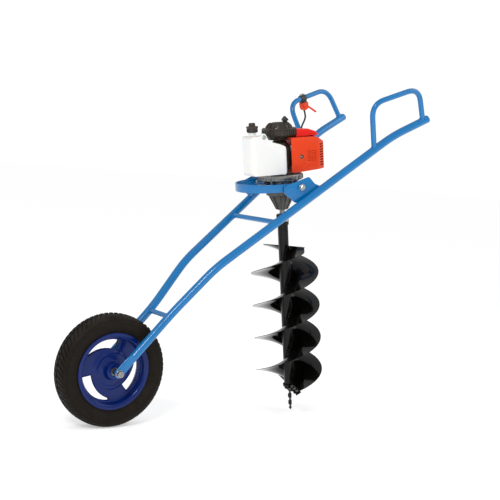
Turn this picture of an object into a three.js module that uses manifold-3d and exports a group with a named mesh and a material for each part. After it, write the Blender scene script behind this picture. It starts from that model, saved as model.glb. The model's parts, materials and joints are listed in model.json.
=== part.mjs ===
// A petrol ice auger carried on a one-wheeled barrow frame. Millimetres, +Z up, +X towards the
// operator's handles, +Y to the operator's right. The origin is on the ground under the wheel.
// The power unit hangs in a U-shaped cradle that tilts between the rails, so that the auger
// stays upright while the frame comes down with it.
import * as THREE from "three";
import { mergeVertices } from "three/addons/utils/BufferGeometryUtils.js";
import Module from "manifold-3d";

const wasm = await Module();
wasm.setup();

// ---- Driving dimensions ----

const GAP = 0.3; // left between two pieces that touch

// Wheel
const TYRE_RADIUS = 215;
const TYRE_WIDTH = 100;
const TYRE_FACETS = 28;
const RIM_RADIUS = 140;
const RIM_WIDTH = 74;
const BEARING_RADIUS = 17.5;
const BEARING_WIDTH = 12;
const HUB_HALF_WIDTH = 40;
const AXLE_RADIUS = 8;
const AXLE_HEIGHT = 215;

// Frame: the right rail's bends, mirrored for the left one
const RAIL_RADIUS = 16;
const RAIL_WALL = 2.5;
const RAIL_AXLE = [0, 76, AXLE_HEIGHT];
const RAIL_FORK_BEND = [229, 76, 418];
const RAIL_LOWER_BEND = [399, 115, 579];
const RAIL_UPPER_BEND = [1171, 246, 1071];
const RAIL_END = [1330, 273, 1137];
const RUNG_RADIUS = 10;
const LOWER_RUNG_X = 214;
const UPPER_RUNG_X = 655;

// Handle loops
const LOOP_RADIUS = 11;
const LOOP_WALL = 2;
const LOOP_LEAN = Math.tan(THREE.MathUtils.degToRad(14));
const LOOP_FOOT_X = 1084;
const LOOP_HEEL_X = 1310;
const LOOP_FRONT_TOP = [1030, 1199];
const LOOP_REAR_TOP = [1256, 1264];
const LOOP_ROUNDING = 60;

// Power unit: its own axes stand on the auger's axis, which leans forward at the top
const AXIS_LEAN = THREE.MathUtils.degToRad(3.18);
const AXIS_FOOT = [788.6, 0, 876];

// Cradle
const CRADLE_HALF_WIDTH = 148;
const CRADLE_BAND = 6;
const CRADLE_BAND_LOW = -15;
const CRADLE_BAND_HIGH = 17;
const CRADLE_ARC_X = -47;
const CRADLE_END_X = 34;
const PIVOT_X = -22.6;
const PIVOT_Z = 1;
const PIVOT_BOLT_RADIUS = 6;
const BRACKET_THICKNESS = 6;
const BRACKET_INSET = 14;

// Reduction gears: two equal stages, both pinions and both wheels alike
const MODULE = 1.2;
const PINION_TEETH = 9;
const WHEEL_TEETH = 41;
const SHAFT_SPACING = (MODULE * (PINION_TEETH + WHEEL_TEETH)) / 2;

// Auger
const AUGER_TUBE_RADIUS = 21.5;
const AUGER_TUBE_TOP = -122;
const AUGER_TUBE_FOOT = -857;
const FLIGHT_RADIUS = 140;
const FLIGHT_THICKNESS = 4;
const FLIGHT_FOOT = -838;
const FLIGHT_TOP = -256;
const FLIGHT_TURNS = 2.1056;
const FLIGHT_FOOT_DEGREES = -109;

// ---- Finishes ----

function finish(color, roughness, metalness) {
  return new THREE.MeshStandardMaterial({ color, roughness, metalness });
}

const FRAME_BLUE = finish(0x0a6ebe, 0.3, 0.1);
const WHEEL_NAVY = finish(0x001469, 0.3, 0.1);
const TYRE_RUBBER = finish(0x262320, 0.85, 0);
const BRIGHT_STEEL = finish(0xc8c8c8, 0.25, 1);
const CAST_ALUMINIUM = finish(0xa5a5a2, 0.5, 0.9);
const GEAR_STEEL = finish(0x8a8a88, 0.35, 1);
const BLACK_PLASTIC = finish(0x1c1a18, 0.5, 0);
const COVER_ORANGE = finish(0xd73c0f, 0.4, 0);
const SHROUD_RED = finish(0xe61e0a, 0.4, 0);
const TANK_WHITE = finish(0xebebeb, 0.4, 0);
const AUGER_BLACK = finish(0x0c0b0a, 0.15, 0.2);
const CAST_DARK = finish(0x4b4a48, 0.55, 0.8);

// ---- Solids ----

// A closed three.js geometry as a manifold-3d solid, turned to face outwards.
function solid(geometry) {
  const loose = geometry.index ? geometry.toNonIndexed() : geometry;
  const bare = new THREE.BufferGeometry();
  bare.setAttribute("position", loose.getAttribute("position"));
  const merged = mergeVertices(bare, 1e-4);
  const corners = merged.index.array;
  const kept = [];
  for (let i = 0; i < corners.length; i += 3) {
    const [a, b, c] = [corners[i], corners[i + 1], corners[i + 2]];
    if (a !== b && b !== c && c !== a) kept.push(a, b, c);
  }
  const build = (triangles) =>
    new wasm.Manifold(
      new wasm.Mesh({
        numProp: 3,
        vertProperties: new Float32Array(merged.attributes.position.array),
        triVerts: new Uint32Array(triangles),
      }),
    );
  const made = build(kept);
  return made.volume() < 0 ? build(kept.reverse()) : made;
}

function join(first, ...others) {
  return others.reduce((whole, piece) => whole.add(piece), first);
}

function cut(whole, ...tools) {
  return tools.reduce((left, tool) => left.subtract(tool), whole);
}

// A round bar or cone along Z between two heights.
function cone(lowRadius, highRadius, low, high, sides = 16) {
  const shape = new THREE.CylinderGeometry(highRadius, lowRadius, high - low, sides);
  shape.rotateX(Math.PI / 2);
  shape.translate(0, 0, (low + high) / 2);
  return solid(shape);
}

function bar(radius, low, high, sides = 16) {
  return cone(radius, radius, low, high, sides);
}

function block(x0, x1, y0, y1, z0, z1) {
  const shape = new THREE.BoxGeometry(x1 - x0, y1 - y0, z1 - z0);
  shape.translate((x0 + x1) / 2, (y0 + y1) / 2, (z0 + z1) / 2);
  return solid(shape);
}

// A turned solid round Z from an outline of [radius, height] points.
function turned(outline, sides = 20) {
  const points = outline.map(([radius, height]) => new THREE.Vector2(radius, height));
  if (outline[0][0] > 0) points.push(points[0].clone());
  const shape = new THREE.LatheGeometry(points, sides);
  shape.rotateX(Math.PI / 2);
  return solid(shape);
}

// A flat plate: an outline in X and Y, from height low to high.
function plate(outline, low, high, holes = []) {
  const toPoints = (list) => list.map(([x, y]) => new THREE.Vector2(x, y));
  const shape = new THREE.Shape(toPoints(outline));
  holes.forEach((hole) => shape.holes.push(new THREE.Path(toPoints(hole))));
  const flat = new THREE.ExtrudeGeometry(shape, { depth: high - low, bevelEnabled: false });
  flat.translate(0, 0, low);
  return solid(flat);
}

// An upright plate: an outline in X and Z, from y = left to right.
function sidePlate(outline, left, right, holes = []) {
  return plate(outline, -right, -left, holes).rotate([90, 0, 0]);
}

const alongX = (piece) => piece.rotate([0, 90, 0]);
const alongY = (piece) => piece.rotate([-90, 0, 0]);

// Points on an arc about a centre, angles in degrees.
function arc(x, y, radius, from, to, steps) {
  const points = [];
  for (let i = 0; i <= steps; i++) {
    const angle = THREE.MathUtils.degToRad(from + ((to - from) * i) / steps);
    points.push([x + radius * Math.cos(angle), y + radius * Math.sin(angle)]);
  }
  return points;
}

function ring(radius, sides) {
  return arc(0, 0, radius, 0, 360, sides).slice(0, sides);
}

// A path through corner points, each corner but the ends rounded over its own length.
function roundedPath(corners, rounding) {
  const path = new THREE.CurvePath();
  const at = corners.map((corner) => new THREE.Vector3(...corner));
  let start = at[0];
  for (let i = 1; i < at.length - 1; i++) {
    const back = at[i].clone().sub(at[i - 1]).setLength(rounding);
    const ahead = at[i + 1].clone().sub(at[i]).setLength(rounding);
    const into = at[i].clone().sub(back);
    const out = at[i].clone().add(ahead);
    path.add(new THREE.LineCurve3(start, into));
    path.add(new THREE.QuadraticBezierCurve3(into, at[i], out));
    start = out;
  }
  path.add(new THREE.LineCurve3(start, at.at(-1)));
  return path;
}

// A round tube along a path, hollow when a wall is given.
function tubeAlong(path, radius, wall, sides, steps) {
  const section = ring(radius, sides).map(([x, y]) => new THREE.Vector2(x, y));
  const shape = new THREE.Shape(section);
  if (wall) {
    const bore = section.map((point) => point.clone().multiplyScalar(1 - wall / radius));
    shape.holes.push(new THREE.Path(bore));
  }
  return solid(new THREE.ExtrudeGeometry(shape, { extrudePath: path, steps }));
}

// A hexagon-headed bolt along Z: its head sits on z = 0 and its shank goes down.
function bolt(radius, length) {
  const head = bar(radius * 1.9, 0, radius * 1.3, 6);
  return join(head, bar(radius, -length, 1, 10));
}

// ---- Assembly ----

const auger = new THREE.Group();
const powerUnit = new THREE.Group();
powerUnit.position.set(...AXIS_FOOT);
powerUnit.rotation.y = -AXIS_LEAN;
auger.add(powerUnit);

function addNode(group, name, piece, material) {
  const made = piece.getMesh();
  const geometry = new THREE.BufferGeometry();
  geometry.setAttribute("position", new THREE.BufferAttribute(made.vertProperties, 3));
  geometry.setIndex(new THREE.BufferAttribute(made.triVerts, 1));
  const flat = geometry.toNonIndexed();
  flat.computeVertexNormals();
  const mesh = new THREE.Mesh(flat, material.clone());
  mesh.name = name;
  group.add(mesh);
}

const SIDES = { left: -1, right: 1 };

// ---- Frame ----

const mirrored = (corners, side) => corners.map(([x, y, z]) => [x, side * y, z]);

const RAIL_CORNERS = [RAIL_AXLE, RAIL_FORK_BEND, RAIL_LOWER_BEND, RAIL_UPPER_BEND, RAIL_END];

// A rail's centre line at a place along X, as its half-width and its height.
function railAt(x) {
  const after = Math.max(1, RAIL_CORNERS.findIndex((corner) => corner[0] >= x));
  const [a, b] = [RAIL_CORNERS[after - 1], RAIL_CORNERS[after]];
  const share = (x - a[0]) / (b[0] - a[0]);
  return { y: a[1] + share * (b[1] - a[1]), z: a[2] + share * (b[2] - a[2]) };
}

const FORK_ANGLE = Math.atan2(RAIL_FORK_BEND[2] - RAIL_AXLE[2], RAIL_FORK_BEND[0]);
const FLAT_LENGTH = 62;
const FLAT_HALF_HEIGHT = 18;
const FLAT_THICKNESS = 9;

function railPath(side, fromAxle) {
  const start = [
    fromAxle * Math.cos(FORK_ANGLE),
    RAIL_AXLE[1],
    RAIL_AXLE[2] + fromAxle * Math.sin(FORK_ANGLE),
  ];
  return roundedPath(mirrored([start, ...RAIL_CORNERS.slice(1)], side), 55);
}

const clearOfRail = {};
for (const [name, side] of Object.entries(SIDES)) {
  clearOfRail[name] = tubeAlong(railPath(side, 40), RAIL_RADIUS + GAP, 0, 8, 22);
}

// The rail's front end is pressed flat and drilled for the axle.
function rail(side) {
  const tube = tubeAlong(railPath(side, 40), RAIL_RADIUS, RAIL_WALL, 8, 22);
  const nose = arc(0, 0, FLAT_HALF_HEIGHT, 90, 270, 8);
  const shoulder = FLAT_HALF_HEIGHT - 4;
  const outline = [...nose, [FLAT_LENGTH, -shoulder], [FLAT_LENGTH, shoulder]];
  const flat = sidePlate(outline, -FLAT_THICKNESS / 2, FLAT_THICKNESS / 2)
    .rotate([0, THREE.MathUtils.radToDeg(-FORK_ANGLE), 0])
    .translate([0, side * RAIL_AXLE[1], AXLE_HEIGHT]);
  const hole = alongY(bar(AXLE_RADIUS + GAP, -200, 200)).translate([0, 0, AXLE_HEIGHT]);
  return cut(join(tube, flat), hole);
}

function rung(x) {
  const { y, z } = railAt(x);
  const tube = cut(bar(RUNG_RADIUS, -y, y, 12), bar(RUNG_RADIUS - 2, -y - 1, y + 1, 12));
  return cut(alongY(tube).translate([x, 0, z]), clearOfRail.left, clearOfRail.right);
}

// The loop stands on its rail and leans outwards.
const leanAt = (x, z) => [x, railAt(x).y + LOOP_LEAN * (z - railAt(x).z), z];
const LOOP_CORNERS = [
  leanAt(LOOP_FOOT_X, railAt(LOOP_FOOT_X).z),
  leanAt(...LOOP_FRONT_TOP),
  leanAt(...LOOP_REAR_TOP),
  leanAt(LOOP_HEEL_X, railAt(LOOP_HEEL_X).z),
];

function handleLoop(name, side) {
  const path = roundedPath(mirrored(LOOP_CORNERS, side), LOOP_ROUNDING);
  return cut(tubeAlong(path, LOOP_RADIUS, LOOP_WALL, 8, 18), clearOfRail[name]);
}

function railPlug(side) {
  const [a, b] = [RAIL_UPPER_BEND, RAIL_END].map((corner) => new THREE.Vector3(...corner));
  const along = b.clone().sub(a).normalize();
  const turn = new THREE.Quaternion().setFromUnitVectors(new THREE.Vector3(0, 0, 1), along);
  const matrix = new THREE.Matrix4().compose(b, turn, new THREE.Vector3(1, 1, 1));
  const cap = join(bar(RAIL_RADIUS, GAP, 5, 16), bar(RAIL_RADIUS - RAIL_WALL - 1.2, -18, 1, 12));
  const placed = cap.transform(matrix.elements);
  return side > 0 ? placed : placed.mirror([0, 1, 0]);
}

// The pivot bracket: a plate welded inside the rail, with a boss for the pivot bolt.
const RAIL_SPLAY = Math.atan2(
  RAIL_UPPER_BEND[1] - RAIL_LOWER_BEND[1],
  RAIL_UPPER_BEND[0] - RAIL_LOWER_BEND[0],
);
const PIVOT = [
  AXIS_FOOT[0] + PIVOT_X * Math.cos(AXIS_LEAN) - PIVOT_Z * Math.sin(AXIS_LEAN),
  0,
  AXIS_FOOT[2] + PIVOT_X * Math.sin(AXIS_LEAN) + PIVOT_Z * Math.cos(AXIS_LEAN),
];
const PIVOT_RAIL_Y = railAt(PIVOT[0]).y;
const BOSS_INNER = CRADLE_HALF_WIDTH + GAP;
const BOSS_OUTER = PIVOT_RAIL_Y - 4;

function pivotBracket(name, side) {
  // The outline is measured from the pivot, along X and Z.
  const outline = [
    [-74, 4],
    [-72, -22],
    [-24, -62],
    [-8, -58],
    [86, 2],
    [62, 12],
    [37, 40],
  ];
  const thick = BRACKET_THICKNESS / 2;
  const web = sidePlate(outline, -thick, thick)
    .rotate([0, 0, THREE.MathUtils.radToDeg(RAIL_SPLAY)])
    .translate([PIVOT[0], PIVOT_RAIL_Y - BRACKET_INSET, PIVOT[2]]);
  const boss = alongY(bar(14, BOSS_INNER, BOSS_OUTER, 20)).translate(PIVOT);
  const hole = alongY(bar(PIVOT_BOLT_RADIUS + GAP, 0, 300, 16)).translate(PIVOT);
  const whole = cut(join(web, boss), hole);
  const placed = side > 0 ? whole : whole.mirror([0, 1, 0]);
  return cut(placed, clearOfRail[name]);
}

for (const [name, side] of Object.entries(SIDES)) {
  addNode(auger, `${name}_rail`, rail(side), FRAME_BLUE);
  addNode(auger, `${name}_handle_loop`, handleLoop(name, side), FRAME_BLUE);
  addNode(auger, `${name}_rail_plug`, railPlug(side), FRAME_BLUE);
  addNode(auger, `${name}_pivot_bracket`, pivotBracket(name, side), FRAME_BLUE);
}
addNode(auger, "lower_rung", rung(LOWER_RUNG_X), FRAME_BLUE);
addNode(auger, "upper_rung", rung(UPPER_RUNG_X), FRAME_BLUE);

// ---- Axle and wheel ----

const onAxle = (piece) => alongY(piece).translate([0, 0, AXLE_HEIGHT]);
const RAIL_FLAT_INNER = RAIL_AXLE[1] - FLAT_THICKNESS / 2;
const RAIL_FLAT_OUTER = RAIL_AXLE[1] + FLAT_THICKNESS / 2;

function axleNut(side) {
  const washer = bar(15, RAIL_FLAT_OUTER + GAP, RAIL_FLAT_OUTER + 3, 24);
  const nut = bar(13.5, RAIL_FLAT_OUTER + 2.5, RAIL_FLAT_OUTER + 14, 6);
  const piece = cut(join(washer, nut), bar(AXLE_RADIUS + GAP, 0, 200));
  return side > 0 ? onAxle(piece) : onAxle(piece).mirror([0, 1, 0]);
}

function axleSpacer(side) {
  const low = HUB_HALF_WIDTH + GAP;
  const high = RAIL_FLAT_INNER - GAP;
  const piece = cut(bar(12, low, high), bar(AXLE_RADIUS + GAP, 0, 200));
  return side > 0 ? onAxle(piece) : onAxle(piece).mirror([0, 1, 0]);
}

function wheelBearing(side) {
  const outer = bar(BEARING_RADIUS, HUB_HALF_WIDTH - BEARING_WIDTH, HUB_HALF_WIDTH);
  const piece = cut(outer, bar(AXLE_RADIUS + GAP, 0, 200));
  return side > 0 ? onAxle(piece) : onAxle(piece).mirror([0, 1, 0]);
}

const BEAD_RADIUS = RIM_RADIUS + 3;

// The tyre's tread is flat across, in facets, and one facet lies on the ground.
function tyre() {
  const crown = TYRE_RADIUS / Math.cos(Math.PI / TYRE_FACETS);
  const half = TYRE_WIDTH / 2;
  const bead = RIM_WIDTH / 2 - 4;
  const outline = [
    [BEAD_RADIUS, -bead],
    [BEAD_RADIUS + 6, -bead - 0.8],
    [BEAD_RADIUS + 14, -half + 6],
    [crown - 36, -half],
    [crown - 12, -half + 4],
    [crown, -half + 18],
    [crown, half - 18],
    [crown - 12, half - 4],
    [crown - 36, half],
    [BEAD_RADIUS + 14, half - 6],
    [BEAD_RADIUS + 6, bead + 0.8],
    [BEAD_RADIUS, bead],
    [BEAD_RADIUS, bead - 11],
    [BEAD_RADIUS + 12, half - 16],
    [crown - 14, half - 20],
    [crown - 14, -half + 20],
    [BEAD_RADIUS + 12, -half + 16],
    [BEAD_RADIUS, -bead + 11],
  ];
  return onAxle(turned(outline, TYRE_FACETS).rotate([0, 0, 180 / TYRE_FACETS]));
}

const RIM_INNER = RIM_RADIUS - 14;
const RIM_WALL = 4;
const DISC_HALF_THICKNESS = 2.5;
const WINDOW_TURNS = [112, 232, 352];
const WINDOW_WIDE_SWEEP = 52;
const WINDOW_POINT_SWEEP = 37;
const WINDOW_OUTER = 119;
const WINDOW_INNER = 76;

// A kidney-shaped window, wide at its clockwise end and pointed at the other.
function rimWindow(turn) {
  const wide = turn - WINDOW_WIDE_SWEEP;
  const point = turn + WINDOW_POINT_SWEEP;
  const outer = arc(0, 0, WINDOW_OUTER, wide + 5, point - 3, 7);
  const inner = [];
  for (let i = 0; i <= 6; i++) {
    const share = i / 6;
    const angle = THREE.MathUtils.degToRad(point - 3 - share * (point - wide - 8));
    const widening = (WINDOW_OUTER - WINDOW_INNER - 10) * Math.sin((share * Math.PI) / 2);
    const radius = WINDOW_OUTER - 10 - widening;
    inner.push([radius * Math.cos(angle), radius * Math.sin(angle)]);
  }
  return [...outer, ...inner];
}

function rim() {
  const half = RIM_WIDTH / 2;
  const well = RIM_RADIUS - 6;
  const barrel = turned(
    [
      [well - RIM_WALL, 0],
      [RIM_RADIUS - 2, -half + 16],
      [RIM_RADIUS - 3, -half],
      [RIM_RADIUS + 6, -half],
      [RIM_RADIUS + 6, -half + 2],
      [RIM_RADIUS + 2, -half + 3],
      [RIM_RADIUS + 2, -half + 16],
      [well, 0],
      [RIM_RADIUS + 2, half - 16],
      [RIM_RADIUS + 2, half - 3],
      [RIM_RADIUS + 6, half - 2],
      [RIM_RADIUS + 6, half],
      [RIM_RADIUS - 3, half],
      [RIM_RADIUS - 2, half - 16],
    ],
    TYRE_FACETS,
  );
  const disc = plate(
    ring(well - 2, TYRE_FACETS),
    -DISC_HALF_THICKNESS,
    DISC_HALF_THICKNESS,
    WINDOW_TURNS.map(rimWindow),
  );
  const hub = turned(
    [
      [0, -HUB_HALF_WIDTH],
      [28, -HUB_HALF_WIDTH],
      [32, -HUB_HALF_WIDTH + 6],
      [52, -9],
      [64, 0],
      [52, 9],
      [32, HUB_HALF_WIDTH - 6],
      [28, HUB_HALF_WIDTH],
      [0, HUB_HALF_WIDTH],
    ],
    16,
  );
  const seat = HUB_HALF_WIDTH - BEARING_WIDTH - GAP;
  const pockets = [bar(BEARING_RADIUS + GAP, seat, 60), bar(BEARING_RADIUS + GAP, -60, -seat)];
  const bore = bar(AXLE_RADIUS + 4, -60, 60);
  const whole = cut(join(barrel, disc, hub), ...pockets, bore);
  // Turned so that the wheel's near face shows its windows as they are listed.
  return whole.rotate([90, 0, 0]).translate([0, 0, AXLE_HEIGHT]);
}

function valveStem() {
  const turn = WINDOW_TURNS[0] - WINDOW_WIDE_SWEEP + 6;
  const stem = join(bar(4, 0, 24, 10), cone(7, 5, 0, 6, 10));
  return stem
    .rotate([0, -90, 0])
    .translate([RIM_RADIUS - 2 * RIM_WALL, 0, -20])
    .rotate([0, 0, turn])
    .rotate([90, 0, 0])
    .translate([0, 0, AXLE_HEIGHT]);
}

const axle = onAxle(bar(AXLE_RADIUS, -RAIL_FLAT_OUTER - 17, RAIL_FLAT_OUTER + 17));
addNode(auger, "axle", axle, BRIGHT_STEEL);
for (const [name, side] of Object.entries(SIDES)) {
  addNode(auger, `${name}_axle_nut`, axleNut(side), BRIGHT_STEEL);
  addNode(auger, `${name}_axle_spacer`, axleSpacer(side), BRIGHT_STEEL);
  addNode(auger, `${name}_wheel_bearing`, wheelBearing(side), BRIGHT_STEEL);
}
addNode(auger, "tyre", tyre(), TYRE_RUBBER);
addNode(auger, "wheel_rim", rim(), WHEEL_NAVY);
addNode(auger, "valve_stem", valveStem(), BRIGHT_STEEL);

// ---- Cradle ----

// A flat bar bent to a U, open towards the handles.
function cradleHoop() {
  const inner = CRADLE_HALF_WIDTH - CRADLE_BAND;
  const outline = [
    [CRADLE_END_X, -CRADLE_HALF_WIDTH],
    ...arc(CRADLE_ARC_X, 0, CRADLE_HALF_WIDTH, 270, 90, 20),
    [CRADLE_END_X, CRADLE_HALF_WIDTH],
    [CRADLE_END_X, inner],
    ...arc(CRADLE_ARC_X, 0, inner, 90, 270, 20),
    [CRADLE_END_X, -inner],
  ];
  const band = plate(outline, CRADLE_BAND_LOW, CRADLE_BAND_HIGH);
  const hole = alongY(bar(PIVOT_BOLT_RADIUS + GAP, -300, 300, 16)).translate([PIVOT_X, 0, PIVOT_Z]);
  return cut(band, hole);
}

const PLATE_LOW = -3;
const PLATE_HIGH = 3;
const PLATE_INNER_HALF = CRADLE_HALF_WIDTH - CRADLE_BAND - GAP;
const LAYSHAFT_RADIUS = 4;

// The cross plate that the gearbox hangs from and the engine stands on.
function mountPlate() {
  const outline = [
    [-96, -34],
    [CRADLE_ARC_X + 2, -PLATE_INNER_HALF],
    [CRADLE_END_X, -PLATE_INNER_HALF],
    [96, -50],
    [96, 50],
    [CRADLE_END_X, PLATE_INNER_HALF],
    [CRADLE_ARC_X + 2, PLATE_INNER_HALF],
    [-96, 34],
  ];
  const notch = (side) =>
    block(PIVOT_X - 15, PIVOT_X + 15, side * 145 - 17, side * 145 + 17, PLATE_LOW - 1, PLATE_HIGH + 1);
  const layshaftBore = bar(LAYSHAFT_RADIUS + GAP, PLATE_LOW - 1, PLATE_HIGH - 2, 16);
  return cut(
    plate(outline, PLATE_LOW, PLATE_HIGH, [ring(13, 20)]),
    notch(-1),
    notch(1),
    layshaftBore.translate([SHAFT_SPACING, 0, 0]),
  );
}

// The bolt's head bears on the bracket's boss and its nut on the inside of the hoop.
function pivotBolt(side) {
  const underHead = BOSS_OUTER + GAP;
  const shank = bolt(PIVOT_BOLT_RADIUS, underHead - PLATE_INNER_HALF + 12).translate([0, 0, underHead]);
  const nut = bar(10.5, PLATE_INNER_HALF - 9, PLATE_INNER_HALF, 6);
  const whole = alongY(join(shank, nut)).translate([PIVOT_X, 0, PIVOT_Z]);
  return side > 0 ? whole : whole.mirror([0, 1, 0]);
}

addNode(powerUnit, "cradle_hoop", cradleHoop(), FRAME_BLUE);
addNode(powerUnit, "mount_plate", mountPlate(), FRAME_BLUE);
for (const [name, side] of Object.entries(SIDES)) {
  addNode(powerUnit, `${name}_pivot_bolt`, pivotBolt(side), BRIGHT_STEEL);
}

// ---- Gearbox ----

const LAYSHAFT_WHEEL_LOW = -16;
const LAYSHAFT_WHEEL_HIGH = -7;
const OUTPUT_WHEEL_LOW = -33;
const OUTPUT_WHEEL_HIGH = -22;
const GEARBOX_FLOOR = -38;
const GEARBOX_FOOT = -104;
const OUTPUT_SHAFT_RADIUS = 11;
const OUTPUT_SHAFT_FOOT = -168;
const COUPLING_BOLT_Z = -146;

// A spur gear with straight-sided teeth, one tooth pointing along +X.
function gear(teeth, low, high) {
  const pitchRadius = (MODULE * teeth) / 2;
  const step = (2 * Math.PI) / teeth;
  const corners = [
    [pitchRadius - 1.25 * MODULE, -0.29],
    [pitchRadius + 0.8 * MODULE, -0.1],
    [pitchRadius + 0.8 * MODULE, 0.1],
    [pitchRadius - 1.25 * MODULE, 0.29],
  ];
  const outline = [];
  for (let tooth = 0; tooth < teeth; tooth++) {
    for (const [radius, share] of corners) {
      const angle = (tooth + share) * step;
      outline.push([radius * Math.cos(angle), radius * Math.sin(angle)]);
    }
  }
  return plate(outline, low, high);
}

function gearboxHousing() {
  const shell = turned([
    [12.5, GEARBOX_FOOT],
    [22, GEARBOX_FOOT],
    [46, -46],
    [62, -42],
    [62, -12],
    [68, -9],
    [68, PLATE_LOW - GAP],
    [57.5, PLATE_LOW - GAP],
    [57.5, GEARBOX_FLOOR],
    [24, GEARBOX_FLOOR],
    [24, -58],
    [17.3, -88],
    [17.3, GEARBOX_FOOT + 4],
    [12.5, GEARBOX_FOOT + 4],
  ]);
  const seat = bar(LAYSHAFT_RADIUS + GAP, GEARBOX_FLOOR - 5, GEARBOX_FLOOR + 1, 16);
  return cut(shell, seat.translate([SHAFT_SPACING, 0, 0]));
}

function layshaft() {
  const shaft = bar(LAYSHAFT_RADIUS, GEARBOX_FLOOR - 4, PLATE_HIGH - 2.5, 16);
  const wheel = gear(WHEEL_TEETH, LAYSHAFT_WHEEL_LOW, LAYSHAFT_WHEEL_HIGH);
  const pinion = gear(PINION_TEETH, OUTPUT_WHEEL_LOW - 1, LAYSHAFT_WHEEL_LOW + 1);
  return join(shaft, wheel, pinion).translate([SHAFT_SPACING, 0, 0]);
}

const couplingBore = alongY(bar(4 + GAP, -60, 60, 12)).translate([0, 0, COUPLING_BOLT_Z]);

function outputGear() {
  const shaft = bar(OUTPUT_SHAFT_RADIUS, OUTPUT_SHAFT_FOOT, OUTPUT_WHEEL_HIGH - 1);
  const collar = bar(14, -88, OUTPUT_WHEEL_LOW + 1);
  return cut(join(gear(WHEEL_TEETH, OUTPUT_WHEEL_LOW, OUTPUT_WHEEL_HIGH), collar, shaft), couplingBore);
}

const outputBearing = cut(
  bar(17, GEARBOX_FOOT + 4 + GAP, -88 - GAP),
  bar(OUTPUT_SHAFT_RADIUS + GAP, -120, -60),
);
addNode(powerUnit, "gearbox_housing", gearboxHousing(), CAST_DARK);
addNode(powerUnit, "layshaft_gears", layshaft(), GEAR_STEEL);
addNode(powerUnit, "output_gear", outputGear(), GEAR_STEEL);
addNode(powerUnit, "output_bearing", outputBearing, BRIGHT_STEEL);

// ---- Clutch ----

const CLUTCH_LOW = PLATE_HIGH + GAP;
const CLUTCH_HIGH = 44;
const CRANK_RADIUS = 9;

const clutchHousing = turned([
  [8, CLUTCH_LOW],
  [58, CLUTCH_LOW],
  [58, 16],
  [88, 20],
  [90, 40],
  [86, CLUTCH_HIGH],
  [CRANK_RADIUS + 2, CLUTCH_HIGH],
  [CRANK_RADIUS + 2, 40],
  [44, 40],
  [44, 8],
  [8, 8],
]);

function clutchDrum() {
  const cup = turned([
    [0, 11],
    [40, 11],
    [40, 35],
    [37, 35],
    [37, 14],
    [0, 14],
  ]);
  const shaft = bar(3.6, LAYSHAFT_WHEEL_LOW + 2, 12, 16);
  return join(cup, shaft, gear(PINION_TEETH, LAYSHAFT_WHEEL_LOW, LAYSHAFT_WHEEL_HIGH + 1));
}

function clutchShoes() {
  const boss = bar(15, 18, 32);
  const shoe = plate([...arc(0, 0, 35, -68, 68, 10), ...arc(0, 0, 27, 68, -68, 10)], 18, 32);
  const arms = block(-30, 30, -6, 6, 20, 30);
  return cut(join(boss, arms, shoe, shoe.rotate([0, 0, 180])), bar(CRANK_RADIUS + GAP, 0, 60));
}

addNode(powerUnit, "clutch_housing", clutchHousing, CAST_ALUMINIUM);
addNode(powerUnit, "clutch_drum", clutchDrum(), GEAR_STEEL);
addNode(powerUnit, "clutch_shoes", clutchShoes(), CAST_ALUMINIUM);

// ---- Engine ----

const CYLINDER_Z = 100;
const CRANK_THROW = 16;
const CRANK_PIN_RADIUS = 7;
const ROD_LENGTH = 80;
const BORE_RADIUS = 19.5;
const CASE_RADIUS = 46;
const CASE_TOP = 150;
const CYLINDER_BASE = 52;
const HEAD_END = 140;
const FAN_LOW = 181;
const FAN_HIGH = 222;

const onCylinder = (piece) => alongX(piece).translate([0, 0, CYLINDER_Z]);

function crankcase() {
  const body = turned([
    [CRANK_RADIUS + 1, CLUTCH_HIGH + GAP],
    [CASE_RADIUS, CLUTCH_HIGH + GAP],
    [CASE_RADIUS, CASE_TOP],
    [24, 178],
    [CRANK_RADIUS + 1, 178],
    [CRANK_RADIUS + 1, 140],
    [CASE_RADIUS - 9, 130],
    [CASE_RADIUS - 9, 66],
    [CRANK_RADIUS + 1, 60],
  ]);
  const pad = cut(block(20, CYLINDER_BASE, -30, 30, 70, 130), bar(CASE_RADIUS - 4, 60, 140));
  const mouth = onCylinder(bar(BORE_RADIUS + 1, 20, 80));
  return cut(join(body, pad), mouth);
}

function cylinder() {
  const outline = [
    [BORE_RADIUS, CYLINDER_BASE + GAP],
    [30, CYLINDER_BASE + GAP],
    [30, CYLINDER_BASE + 6],
  ];
  for (let fin = CYLINDER_BASE + 14; fin < HEAD_END - 4; fin += 17) {
    outline.push([27, fin], [44, fin], [44, fin + 5], [27, fin + 5]);
  }
  outline.push([27, HEAD_END], [0, HEAD_END], [0, HEAD_END - 20], [BORE_RADIUS, HEAD_END - 22]);
  const casting = onCylinder(turned([...outline.slice(1), outline[0]].reverse(), 16));
  return cut(casting, onCylinder(bar(5, HEAD_END - 30, HEAD_END + 5, 10)));
}

function crankshaft() {
  const lowWeb = bar(30, 84, 94);
  const highWeb = bar(30, 106, 116);
  const pin = bar(CRANK_PIN_RADIUS, 93, 107, 16).translate([CRANK_THROW, 0, 0]);
  return join(bar(CRANK_RADIUS, 16, 85), lowWeb, pin, highWeb, bar(CRANK_RADIUS, 115, 212));
}

const GUDGEON_X = CRANK_THROW + ROD_LENGTH;

function piston() {
  const skirt = GUDGEON_X - 12;
  const crown = GUDGEON_X + 16;
  const cup = cut(bar(BORE_RADIUS - GAP, skirt, crown), bar(15, skirt - 1, crown - 5));
  const gudgeon = bar(4, CYLINDER_Z - 16, CYLINDER_Z + 16, 12).translate([GUDGEON_X, 0, 0]);
  return join(onCylinder(cup), gudgeon);
}

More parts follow.
